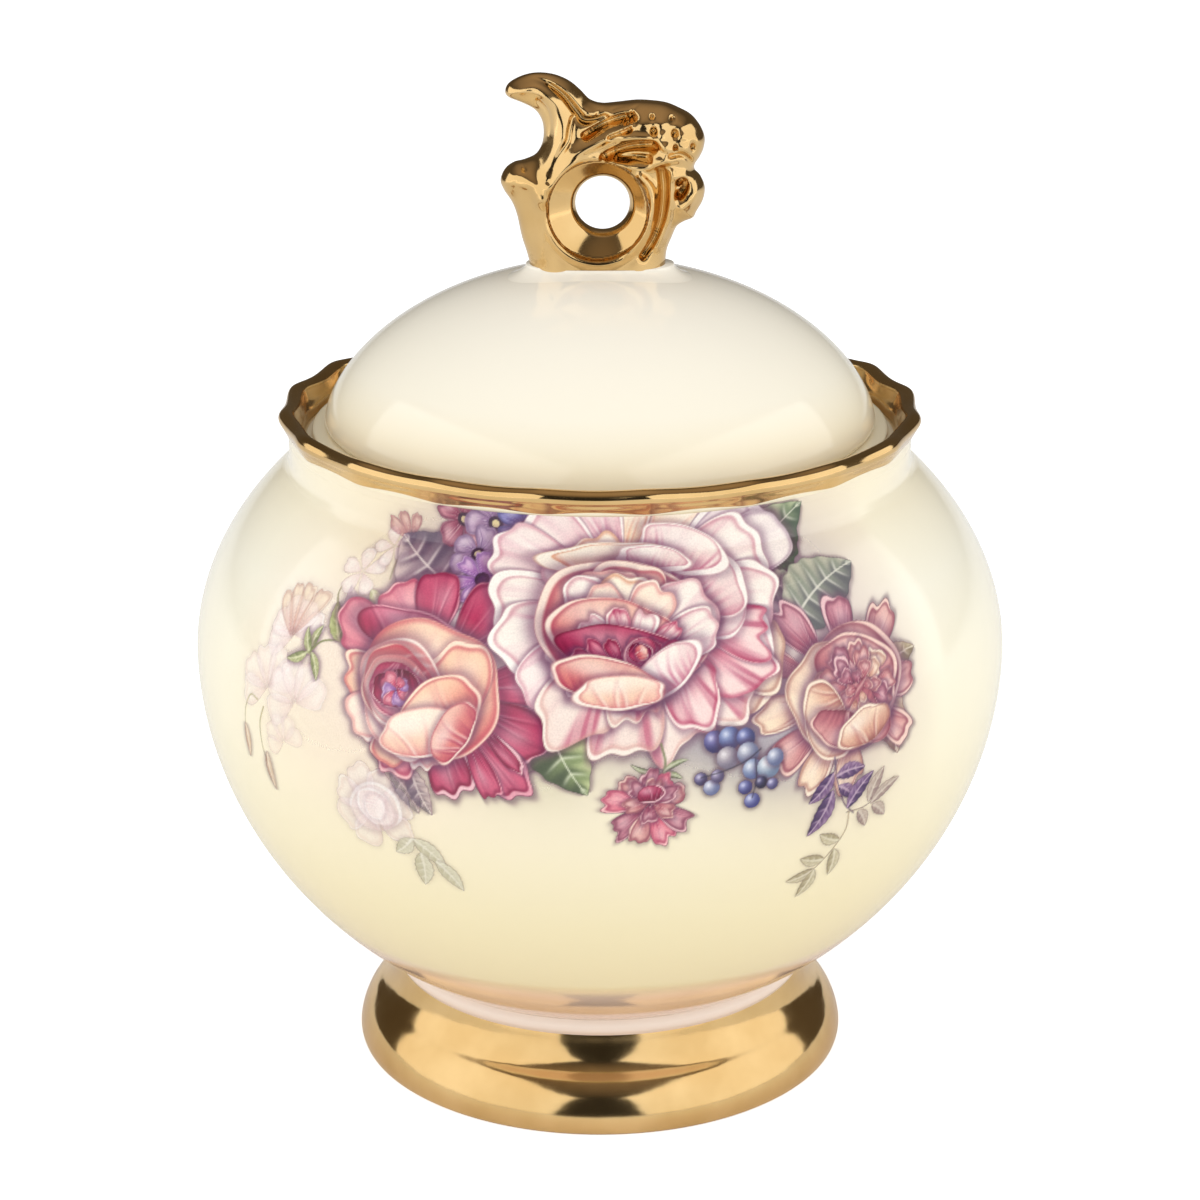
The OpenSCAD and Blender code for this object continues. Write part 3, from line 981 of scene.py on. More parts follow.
def fan(sheet, place, at, turn, length, spread, tone, ruffle=0.05, cover=1.0, lip=0.5, shadow=0.5):
    """A petal that opens from its base like a fan, with a ruffled tip that may turn over."""
    part, x, y = sheet.window(place, np.hypot(*at) + length * 1.25 + 1.5)
    u, v = turned(x, y, at, turn)
    r = np.hypot(u, v)
    across = np.arctan2(v, u) / (math.radians(spread) / 2)
    inner = np.clip(np.abs(across), 0, 1)
    reach = length * (1 - inner**3.2) ** 0.42 * (1 + ruffle * waves(across * 2.2, sheet.rng, 1, 6, 0.7))
    # The reach falls steeply near the sides, so the gap to the edge is shortened by its slope there.
    steep = length * 1.35 * inner**2.2 * np.maximum(1 - inner**3.2, 1e-3) ** -0.58
    steep = steep / (math.radians(spread) / 2)
    nearest = (reach - r) / np.sqrt(1 + (steep / np.maximum(r, 0.2)) ** 2)
    gap = np.where(np.abs(across) < 1, nearest, -np.minimum(r, 9))
    side = (1 - inner) * r * math.radians(spread) / 2
    q = r / np.maximum(reach, 1e-3)
    if shadow:
        beside = np.maximum(np.abs(across) - 1, 0) * r
        out = np.where(np.abs(across) < 1.12, np.maximum(r - reach, 0), 9) + beside
        shade = 0.7 * bell(out, 0.04 * length + 0.3) * (gap < 0.3) * smooth(q * 2)
        sheet.lay(part, SHADE, cover * shadow * shade)
    colour = paint_tone(tone, q, across, sheet.rng, 0.6)
    if lip:
        tip = smooth((q - 0.3) / 0.4)
        curl = tip * lip * length * 0.17 * smooth(0.45 + 0.5 * waves(across * 1.5, sheet.rng, 1, 4))
        curl = curl * sheet.rng.uniform(0.6, 1.2)
        edge = rgb(TONES[tone][3])
        under = bell(gap - curl - 0.25, 0.35)
        colour = mix(colour, rgb(TONES[tone][0]), 0.5 * tip * under)
        colour = mix(colour, edge, smooth((curl - gap) / 0.3 + 0.5) * 0.9 * tip)
    colour = mix(colour, rgb(TONES[tone][0]) * 0.85, 0.6 * smooth(1 - gap / 0.22))
    sheet.lay(part, colour, cover * smooth(gap / 0.22 + 0.3) * smooth(side / 0.15))


def fans(sheet, place, ruffle, lip, shadow, rows, widen=1):
    for at, turn, length, spread, tone in rows:
        fan(sheet, place, at, turn, length, widen * spread, tone, ruffle, 1, lip, shadow)


def cup(sheet, place, at, turn, long, short, tone, rim=0.14, cover=1.0, shadow=0.5, ruffle=0.03):
    """A petal seen as a bowl: its base is at its lower side and its light rim all round the upper."""
    part, x, y = sheet.window(place, np.hypot(*at) + long * 1.2 + 1.5)
    u, v = turned(x, y, at, turn)
    around = np.arctan2(v / short, u / long)
    size = np.hypot(u / long, v / short) / (1 + ruffle * waves(around, sheet.rng, 2, 7, 0.6))
    gap = (1 - size) * short
    if shadow:
        sheet.lay(part, SHADE, cover * shadow * 0.65 * halo(gap, 0.1 * short + 0.25) * (gap < 0.3))
    across = u / long * 1.1 / (1.25 + v / short * 0.4)
    q = np.clip(0.5 + 0.5 * v / short, 0, 1) * 0.85 + 0.1
    colour = paint_tone(tone, q, across, sheet.rng, 0.8)
    swell = 0.5 + 0.5 * np.sin(around + sheet.rng.uniform(0, 6)) + 0.25 * waves(around, sheet.rng, 2, 5)
    rim = rim * (0.35 + 0.85 * smooth(swell))
    inside = smooth((size - (1 - rim) + 0.09) / 0.1) * (1 - smooth((size - (1 - rim)) / 0.04))
    colour = mix(colour, rgb(TONES[tone][0]), 0.55 * inside)
    colour = mix(colour, rgb(TONES[tone][3]), smooth((size - (1 - rim)) / 0.05) * 0.92)
    colour = mix(colour, rgb(TONES[tone][0]) * 0.85, 0.55 * smooth(1 - gap / 0.2))
    sheet.lay(part, colour, cover * smooth(gap / 0.2 + 0.3))


def stroke(sheet, place, points, first, last, colour, cover=1.0):
    """A line that tapers from one width to another."""
    line = spline(points, 6)
    reach = np.abs(np.asarray(points)).max() * 1.5 + 1
    part, x, y = sheet.window(place, reach)
    d, along = line_distance(x, y, line)
    width = first + (last - first) * along
    sheet.lay(part, rgb(colour), cover * smooth((width * 0.3 - d) / 0.22 + 0.5))


def leaf(sheet, place, base, tip, width, bend, tones, cover=1.0, veins=6, shadow=0.4, teeth=0.04):
    """A leaf with a midrib and side veins; tones are dark, middle, light and vein."""
    dark, middle, light, vein = (rgb(c) for c in tones)
    base, tip = np.array(base, float), np.array(tip, float)
    length = np.hypot(*(tip - base))
    part, x, y = sheet.window(place, max(np.hypot(*base), np.hypot(*tip)) + width)
    u, v = turned(x, y, base, math.degrees(math.atan2(*(tip - base)[::-1])))
    s = np.clip(u / length, 0, 1)
    v = v - bend * 4 * s * (1 - s) * length
    half = width / 2 * (np.sin(np.pi * s**0.85) + 1e-3) ** 0.85
    half = half * (1 + teeth * np.sin(s * 40 + 2 * np.sign(v)))
    m = v / np.maximum(half, 1e-3)
    gap = np.where((u > 0) & (u < length), (1 - np.abs(m)) * half, -1)
    if shadow:
        shade = halo(gap, 0.5) * (gap < 0.2) * (s > 0.02) * (s < 0.98)
        sheet.lay(part, SHADE * 0.9, cover * shadow * shade)
    phase = s * veins - np.abs(m) * 0.55
    line = bell((phase % 1) - 0.5, 0.1) * smooth(1.1 - np.abs(m))
    body = mix(middle, dark, smooth(0.45 - m * 0.55 + 0.2 * np.sin(phase * 2 * np.pi)))
    body = mix(body, light, smooth(m * 0.9 - 0.15 + 0.3 * np.sin(phase * 2 * np.pi + 1.2)))
    body = mix(body, vein, 0.7 * line)
    body = mix(body, vein, 0.85 * smooth(1.3 - np.abs(v) / (0.09 + 0.16 * (1 - s))))
    body = mix(body, dark * 0.8, 0.5 * smooth(1 - gap / 0.25))
    sheet.lay(part, body, cover * smooth(gap / 0.18 + 0.3))


def leaves(sheet, place, bend, tones, cover, veins, shadow, rows):
    for base, tip, width in rows:
        leaf(sheet, place, base, tip, width, bend, tones, cover, veins, shadow)


def floret(sheet, place, at, r, tone, petals=5, eye=(238, 214, 150), cover=1.0, spin=0):
    for k in range(petals):
        turn = spin + 360 * k / petals + sheet.rng.uniform(-5, 5)
        fan(
            sheet, place, at, turn, r * sheet.rng.uniform(0.92, 1.06), 400 / petals, tone, 0.06, cover,
            0.25, 0.3,
        )
    part, x, y = sheet.window(place, np.hypot(*at) + r)
    d = np.hypot(x - at[0], y - at[1])
    sheet.lay(part, rgb((52, 30, 50)), cover * 0.85 * smooth((r * 0.24 - d) / 0.15 + 0.4))
    sheet.lay(part, rgb(eye), cover * smooth((r * 0.12 - d) / 0.12 + 0.4))


def berry(sheet, place, at, r, dark, light, cover=1.0):
    part, x, y = sheet.window(place, np.hypot(*at) + r * 2)
    d = np.hypot(x - at[0], y - at[1]) / r
    lit = np.hypot(x - at[0] + 0.35 * r, y - at[1] - 0.35 * r) / r
    sheet.lay(part, SHADE * 0.8, cover * 0.4 * halo(1 - d, 0.35))
    colour = mix(rgb(light), rgb(dark), smooth(lit / 1.25))
    colour = mix(colour, np.ones(3), 0.55 * bell(lit, 0.28))
    sheet.lay(part, colour, cover * smooth((1 - d) * r / 0.14 + 0.4))


def wash(sheet, place, at, rx, ry, turn, colour, cover):
    """A soft cloud of colour."""
    part, x, y = sheet.window(place, np.hypot(*at) + 2.2 * max(rx, ry))
    u, v = turned(x, y, at, turn)
    sheet.lay(part, rgb(colour), cover * np.exp(-((u / rx) ** 2) - (v / ry) ** 2))


# Leaf tones: dark, middle, light and vein.
GREEN = ((74, 92, 72), (128, 144, 110), (186, 194, 154), (226, 226, 204))
GREY_GREEN = ((84, 84, 88), (140, 146, 128), (196, 192, 170), (232, 228, 212))
MAUVE_LEAF = ((86, 66, 92), (150, 124, 138), (214, 190, 188), (240, 226, 220))
OLIVE = ((120, 100, 74), (168, 148, 112), (208, 192, 158), (236, 224, 200))
PALE_LEAF = ((196, 190, 160), (214, 210, 184), (228, 224, 202), (240, 236, 220))


def paint_back(sheet):
    """The washes, the leaves, the faded spray on the left and the small flowers at the top."""
    for place, rx, ry, turn, colour, cover in (
        ((5, 20), 27, 17, 0, (226, 200, 206), 0.5),
        ((21, 5), 12, 7, -20, (150, 150, 168), 0.6),
        ((12, 7), 16, 5, -8, (170, 164, 172), 0.45),
        ((-14, 30), 11, 7, 20, (120, 90, 130), 0.6),
        ((-21, 26), 9, 8, 0, (196, 176, 190), 0.5),
        ((30, 26), 9, 9, 0, (196, 190, 200), 0.45),
        ((-27, 12), 19, 15, 10, (240, 206, 206), 0.35),
        ((-33, 27), 10, 8, 0, (236, 224, 190), 0.35),
        ((-9, 3), 10, 6, 0, (206, 206, 176), 0.4),
        ((34, 8), 13, 14, 0, (216, 190, 188), 0.4),
        ((-42, 8), 13, 11, 0, (244, 232, 216), 0.35),
    ):
        wash(sheet, place, (0, 0), rx, ry, turn, colour, cover)

    # Faded flowers, buds and leaves on the left
    fade = 0.62
    for place, r, cover in (
        ((-47.5, 13.5), 5.4, 0.75), ((-50.5, 5.5), 6.2, 0.5), ((-44.5, 5), 6, 0.5), ((-46.5, -1), 4, 0.35),
    ):
        for k in range(5):
            fan(
                sheet, place, (0, 0), 200 - 42 * k + sheet.rng.uniform(-8, 8), r, 70, "ghost", 0.05, cover,
                0.3, 0.14,
            )
    for k, turn in enumerate((66, 88, 108, 128)):
        fan(sheet, (-48, 13), (0, 0), turn, 8.5 - 0.5 * k, 34, "sand", 0.04, 0.42, 0.3, 0.2)
    for at, turn in (((0, 0), 75), ((0.4, -0.4), 118), ((-0.3, 0), 205), ((0.3, 0.2), -60)):
        tip = (at[0] + 4.2 * math.cos(math.radians(turn)), at[1] + 4.2 * math.sin(math.radians(turn)))
        leaf(
            sheet, (-43.6, 12.2), at, tip, 1.5, 0.08,
            ((112, 122, 70), (160, 166, 104), (204, 206, 150), (226, 226, 180)), 0.85, 3,
        )
    stroke(
        sheet, (-43.6, 12.2), [(0, 0), (1.5, 1.8), (3.6, 2.5), (5.6, 2.9)], 0.5, 0.35, (128, 132, 84), 0.9
    )
    leaf(
        sheet, (-39.9, 16.2), (1.2, -1.6), (-1.5, 3.6), 2.6, 0.05,
        ((110, 116, 60), (152, 158, 92), (196, 200, 140), (216, 216, 160)), 0.9, 3,
    )
    stroke(sheet, (-39.9, 16.2), [(-1.3, 3), (-2, 4.6), (-1.9, 5.8)], 0.5, 0.15, (128, 124, 80), 0.9)
    for place, points in (
        ((-55, 2.5), [(2.4, 0.8), (0.6, 1), (-0.6, -1.2), (-0.9, -4)]),
        ((-52.5, 1.5), [(1.4, 1.2), (0.6, -1.4), (0.9, -4.6), (1.6, -6.6)]),
    ):
        stroke(sheet, place, points, 0.4, 0.25, (166, 158, 110), 0.7)
    leaf(
        sheet, (-55.8, -3), (0, 2.2), (0.4, -3), 1.5, 0.05,
        ((176, 130, 106), (214, 182, 150), (236, 214, 186), (244, 228, 206)), 0.6, 2,
    )
    leaf(
        sheet, (-50.6, -6), (0, 2.6), (1, -3.2), 1.7, -0.06,
        ((160, 120, 104), (206, 176, 150), (232, 210, 186), (244, 228, 206)), 0.6, 2,
    )
    for at, turn, length in (
        ((0, 0), 250, 6.5), ((0, 0), 205, 6.5), ((0, 0), 160, 6), ((0, 0), 115, 6.2), ((0, 0), 70, 5.8),
        ((0, 0), 20, 6.4), ((0, 0), -35, 6.2),
    ):
        fan(sheet, (-31, -6.5), at, turn, length, 72, "ghost", 0.06, fade * 0.8, 0.4, 0.16)
    for r, turn in ((4.3, 20), (3.1, 150), (2.0, 260)):
        cup(sheet, (-31, -6.3), (0.3, 0), turn, r, r * 0.85, "ghost", 0.16, fade * 0.8, 0.3)
    leaf(sheet, (-27, -1.5), (-1, 1), (3, -4.5), 3.4, 0.08, MAUVE_LEAF, 0.5, 5)
    leaf(sheet, (-23.5, -1.5), (-1.5, 2), (1.4, -4.4), 3.2, -0.05, MAUVE_LEAF, 0.62, 5)
    leaves(
        sheet, (-23.5, -13), 0.05, PALE_LEAF, 0.75, 5, 0.1,
        [
            ((-2, 3), (2.6, -1), 2.6), ((-1, 1), (-1.2, -4.6), 2.8), ((1, 0), (4.4, -4.6), 2.4),
            ((-2, 3), (-4.8, 0.2), 2.4),
        ],
    )
    for at, turn in (((0, 0), 30), ((0, 0), 100), ((0, 0), 170), ((0, 0), 240), ((0, 0), 310)):
        fan(sheet, (-39.5, 24.5), at, turn, 3.6, 62, "ghost", 0.04, 0.7, 0.3, 0.2)
        fan(sheet, (-36, 29), at, turn + 20, 3.0, 62, "ghost", 0.04, 0.7, 0.3, 0.25)
    fan(sheet, (-40.5, 22.5), (0, 0), 300, 4.2, 60, "mauve", 0.04, 0.45, 0.3, 0.2)
    for turn, length in ((150, 4.4), (115, 4.2), (75, 4.0)):
        fan(sheet, (-34, 30.5), (0, 0), turn, length, 44, "dusty", 0.05, 0.55, 0.3, 0.2)
    for turn, length in ((-10, 3.6), (-48, 3.2)):
        fan(sheet, (-33.4, 30), (0, 0), turn, length, 50, "dusty", 0.05, 0.5, 0.3, 0.2)
    stroke(sheet, (-34, 30), [(0, 0), (-0.2, -3), (0, -5.6)], 0.4, 0.3, (150, 142, 110), 0.7)
    leaf(
        sheet, (-36.5, 20.5), (0, 2), (2.8, -1.6), 2.0, 0.08,
        ((176, 178, 120), (208, 208, 152), (226, 226, 180), (236, 236, 200)), 0.6, 3,
    )

    # Leaves round the roses
    leaf(sheet, (-29, 26.5), (9, -3), (-5, 4.6), 12, 0.05, MAUVE_LEAF, 0.85, 6)
    leaf(sheet, (29, 31), (-4.4, -5), (6, 4.4), 9.5, 0.05, GREEN, 0.95, 7)
    leaf(sheet, (27.5, 29), (-2.4, -3.6), (4.6, -4.4), 5, -0.1, GREY_GREEN, 0.9, 5)
    leaf(sheet, (35, 23), (-6.4, -4.6), (7, 2.4), 9, 0.09, GREY_GREEN, 0.9, 7)
    leaf(
        sheet, (-9.5, 5), (0, 7), (-2.6, -5), 7, 0.1,
        ((52, 66, 60), (110, 122, 90), (170, 180, 130), (214, 218, 186)), 0.95, 6,
    )
    leaf(
        sheet, (-5.5, 3.6), (-2.2, 8), (4, -4.8), 8.4, -0.06,
        ((72, 84, 60), (134, 150, 100), (196, 204, 150), (226, 230, 200)), 0.95, 6,
    )
    leaf(sheet, (44.5, 10.5), (-3.4, -0.6), (4, 1.4), 3.8, 0.08, OLIVE, 0.8, 5)
    leaf(
        sheet, (43, 4.5), (-1, 4.4), (-0.2, -6), 5.4, -0.08,
        ((120, 84, 84), (170, 140, 120), (206, 186, 160), (236, 222, 204)), 0.85, 5,
    )

    # Small flowers behind the central rose
    for place, r, tone, spin in (
        ((-23.5, 34.5), 4.2, "plum", 10), ((-17.8, 34.4), 4.4, "thistle", 40),
        ((-12.5, 34.2), 4.2, "violet", 0), ((-16.5, 28.5), 3.6, "violet", 25),
        ((-7.2, 35), 3.4, "violet", 60), ((-20.5, 30), 4.0, "thistle", 5),
    ):
        floret(sheet, place, (0, 0), r, tone, 5, (236, 216, 160), 0.95, spin)
    floret(sheet, (-18.6, 26.4), (0, 0), 4.3, "lilac", 8, (70, 40, 80), 1.0, 12)
    floret(sheet, (-16.4, 21.2), (0, 0), 3.6, "violet", 5, (226, 196, 120), 0.9, 30)
    leaf(
        sheet, (-3.4, 32.4), (-3.4, 1.6), (4.4, -0.8), 5, 0.03,
        ((176, 96, 60), (226, 166, 120), (246, 212, 170), (250, 230, 206)), 0.95, 7,
    )


def paint_left_rose(sheet):
    """The crimson rose, seen from its side, with pale inner petals."""
    c = (-23.8, 11.6)
    fans(sheet, c, 0.06, 0.35, 0.7, [
        ((-1, 4), 128, 10.5, 66, "rose"), ((0, 4), 96, 11, 60, "crimson"),
        ((2.5, 3), 60, 13, 62, "crimson"), ((5, 0), 12, 12, 50, "crimson"),
        ((4, -1), -22, 14.5, 48, "wine"), ((4, -2), -48, 14.5, 44, "crimson"),
        ((2, -3), -72, 12, 52, "wine"), ((-1, -2), 252, 11.5, 50, "rose"), ((-2, 2), 158, 13.4, 52, "rose"),
    ])
    cup(sheet, c, (-3.4, 6.2), -8, 8.6, 3.3, "crimson", 0.1, 1, 0.6, 0.06)
    fans(sheet, c, 0.07, 0.6, 0.6, [
        ((5.5, -4), -62, 10.6, 30, "crimson"), ((7, -3), -44, 9.6, 24, "wine"),
        ((-2, 0), 186, 10.5, 66, "coral"), ((-2, -1), 216, 10.5, 60, "blush"),
        ((-1, -2), 246, 9.8, 56, "coral"), ((0, -2), 276, 9.6, 46, "blush"),
    ])
    cup(sheet, c, (0.6, -0.4), -30, 10.2, 8.8, "coral", 0.05, 1, 0.65, 0.04)
    fan(sheet, c, (5.5, -6.8), 98, 12.6, 74, "coral", 0.04, 1, 0.4, 0.4)
    for k, (long, short) in enumerate(((8.4, 7), (7.2, 6), (6, 5), (4.8, 4.1), (3.7, 3.1))):
        tone = ("blush", "coral", "blush", "rose", "wine")[k]
        cup(
            sheet, c, (-3.2 - 0.2 * k, -2.2 + 0.25 * k), 118 + 17 * k, long, short * 0.86, tone, 0.09, 1,
            0.55, 0.06,
        )
    for k in range(7):
        turn = 150 + 49 * k
        fan(
            sheet, c, (-3.9 + 0.3 * math.cos(k), -1.2), turn, 2.9 - 0.22 * k, 95, ("rose", "lilac")[k % 2],
            0.08, 1, 0.7, 0.5,
        )
    cup(sheet, c, (2.4, -3.4), 42, 6.4, 4.4, "coral", 0.1, 1, 0.6, 0.05)
    cup(sheet, c, (0.4, -6.2), 16, 6.8, 3.2, "blush", 0.12, 1, 0.6, 0.05)
    cup(sheet, c, (4.6, -5.6), 62, 4.8, 2.4, "salmon", 0.12, 1, 0.55, 0.05)


def paint_right_rose(sheet):
    """The dusty rose, full of small folded petals."""
    c = (34.2, 8.4)
    fans(sheet, c, 0.08, 0.6, 0.65, [
        ((-2, 4), 118, 10.5, 52, "plum"), ((1, 4), 82, 9.6, 50, "plum"), ((4, 3), 48, 9.8, 50, "dusty"),
        ((-4, 3), 150, 9.0, 44, "dusty"), ((-3, 0), 184, 10.2, 46, "sand"),
        ((-3, -2), 212, 10.2, 48, "dusty"), ((-2, -3), 242, 9.6, 48, "sand"),
        ((0, -4), 270, 8.8, 54, "sand"), ((4, -2), 318, 8.6, 54, "dusty"), ((5, 0), 0, 7.2, 66, "dusty"),
    ])
    for at, turn, long, short, tone in (
        ((1.4, 1.2), 20, 9.0, 8.0, "dusty"), ((-1.6, 0.6), 60, 7.6, 6.6, "sand"),
        ((3.0, 2.2), -30, 6.8, 5.8, "dusty"), ((-2.4, -2.4), 100, 6.0, 4.4, "sand"),
        ((2.8, -2.2), 140, 5.6, 4.6, "dusty"),
    ):
        cup(sheet, c, at, turn, long, short, tone, 0.11, 1, 0.6, 0.08)
    heart = np.array([2.6, 0.6])
    for ring, (count, spot, size) in enumerate(((9, 4.6, 4.0), (7, 3.0, 3.4), (5, 1.6, 2.8), (4, 0.7, 1.9))):
        for k in range(count):
            turn = 360 * k / count + 31 * ring + sheet.rng.uniform(-9, 9)
            a = math.radians(turn)
            at = heart + spot * 0.55 * np.array([math.cos(a), 0.92 * math.sin(a)])
            tone = ("dusty", "sand", "dusty", "plum")[(ring + k) % 4]
            fan(sheet, c, at, turn, size * sheet.rng.uniform(0.9, 1.1), 84, tone, 0.1, 1, 0.75, 0.6)
    cup(sheet, c, (-3.4, -1.6), 104, 4.8, 3.0, "sand", 0.12, 1, 0.6, 0.06)
    cup(sheet, c, (-1.4, -4.2), 150, 4.8, 2.6, "dusty", 0.12, 1, 0.6, 0.06)
    cup(sheet, c, (2.6, -4.6), 18, 5.0, 2.4, "sand", 0.14, 1, 0.6, 0.06)


def paint_central_rose(sheet):
    """The large pale rose with a dark heart."""
    c = (5.2, 22.4)
    fans(sheet, c, 0.06, 0.5, 0.6, [
        ((1, 6), 70, 13.5, 46, "peach"), ((-1, 6), 98, 12.4, 44, "peach"), ((4, 5), 34, 16.8, 34, "mauve"),
        ((5, 4), 20, 17, 30, "mauve"), ((6, -4), 322, 13.4, 36, "sand"), ((5, -3), 342, 15.5, 34, "sand"),
        ((-1, 6), 128, 15, 46, "rib"), ((-2, 5), 146, 15.2, 36, "rib"), ((-3, 4), 164, 15.8, 34, "rib"),
        ((-3, 2), 184, 16.2, 34, "shell"), ((-3, 1), 207, 15.8, 40, "shell"),
        ((-3, -1), 224, 15.0, 36, "rib"), ((3, 5), 14, 15.4, 44, "shell"), ((4, 2), 350, 15.4, 44, "shell"),
        ((4, 0), 330, 15.2, 40, "shell"),
    ], 1.75)
    fans(sheet, c, 0.09, 0.3, 0.6, [
        ((3, -2), 304, 16.4, 40, "skirt"), ((2, -2), 284, 16.6, 38, "skirt"),
        ((0, -2), 262, 16.4, 40, "skirt"), ((-2, -2), 240, 16.2, 42, "skirt"),
        ((4, -1), 322, 14.8, 40, "flame"), ((2, -1), 298, 14.6, 38, "flame"),
        ((-1, -1), 272, 13.6, 36, "skirt"), ((5, 0), 340, 14.0, 34, "flame"),
        ((-3, 1), 232, 13.0, 34, "shell"),
    ], 1.45)
    cup(sheet, c, (10.4, 1.2), -80, 5.6, 4.2, "shell", 0.14, 1, 0.5, 0.05)
    cup(sheet, c, (9.6, 4.6), -50, 6.8, 4.4, "shell", 0.18, 1, 0.55, 0.05)
    cup(sheet, c, (7.0, 8.6), -26, 6.6, 3.2, "shell", 0.22, 1, 0.55, 0.05)
    fan(sheet, c, (-2, 4.5), 118, 7.6, 88, "peach", 0.06, 1, 0.7, 0.5)
    fan(sheet, c, (-4, 3.5), 150, 8.4, 70, "rib", 0.06, 1, 0.6, 0.5)
    cup(sheet, c, (-3.6, 7.8), 4, 8.6, 2.4, "peach", 0.34, 1, 0.6, 0.06)
    cup(sheet, c, (2.8, 7.6), -10, 5.2, 2.0, "shell", 0.34, 1, 0.5, 0.07)

    # The ball of the rose, then its folded heart
    cup(sheet, c, (-1.6, -1.8), -14, 11.4, 9.6, "salmon", 0.1, 1, 0.75, 0.03)
    fans(sheet, c, 0.05, 0.4, 0.65, [
        ((-3, -4), 70, 12.0, 60, "salmon"), ((-1, -6), 40, 13.4, 46, "shell"),
        ((-2, -5), 100, 11.8, 46, "blush"), ((-1, -5), 128, 11.8, 40, "shell"),
        ((0, -5), 150, 11.4, 36, "flame"), ((-1, -6), 20, 12.4, 34, "shell"),
        ((-2, -4), 84, 9.8, 44, "peach"), ((-2, -5), 56, 10.6, 36, "blush"),
        ((-1, -5), 114, 9.4, 36, "blush"),
    ], 1.5)
    cup(sheet, c, (-3.2, -2.6), -8, 8.4, 5.0, "salmon", 0.12, 1, 0.6, 0.05)
    fans(sheet, c, 0.06, 0.6, 0.6, [
        ((-2.4, -5.4), 132, 6.6, 60, "shell"), ((-1.6, -5.4), 100, 6.2, 54, "flame"),
        ((-0.8, -5.6), 66, 6.6, 50, "shell"), ((0, -6), 38, 6.8, 40, "flame"),
    ])
    cup(sheet, c, (-2.0, -4.9), -8, 8.2, 3.5, "wine", 0.07, 1, 0.75, 0.05)
    fans(sheet, c, 0.05, 0.3, 0.75, [
        ((-2.4, -7.4), 160, 6.4, 34, "wine"), ((-2.2, -7.4), 138, 5.8, 36, "crimson"),
        ((-1.8, -7.6), 114, 4.8, 44, "wine"), ((-0.4, -7.2), 88, 4.0, 54, "rose"),
        ((0.6, -7.2), 62, 4.2, 50, "wine"), ((1.4, -7.4), 42, 5.4, 38, "crimson"),
        ((1.6, -7.6), 22, 6.0, 30, "wine"), ((1.4, -7.8), 6, 6.2, 28, "rose"),
    ])
    for k, (r, turn) in enumerate(((2.3, 40), (1.7, 170), (1.1, 290))):
        cup(sheet, c, (0.2 + 0.15 * k, -5.1), turn, r, r * 0.8, ("rose", "wine", "salmon")[k], 0.16, 1, 0.6)
    cup(sheet, c, (3.2, -8.0), 38, 6.6, 2.6, "shell", 0.16, 1, 0.65, 0.05)
    cup(sheet, c, (-4.0, -8.7), -12, 7.6, 3.0, "salmon", 0.11, 1, 0.7, 0.05)
    cup(sheet, c, (-2.6, -10.2), 2, 6.2, 2.2, "blush", 0.16, 1, 0.6, 0.06)


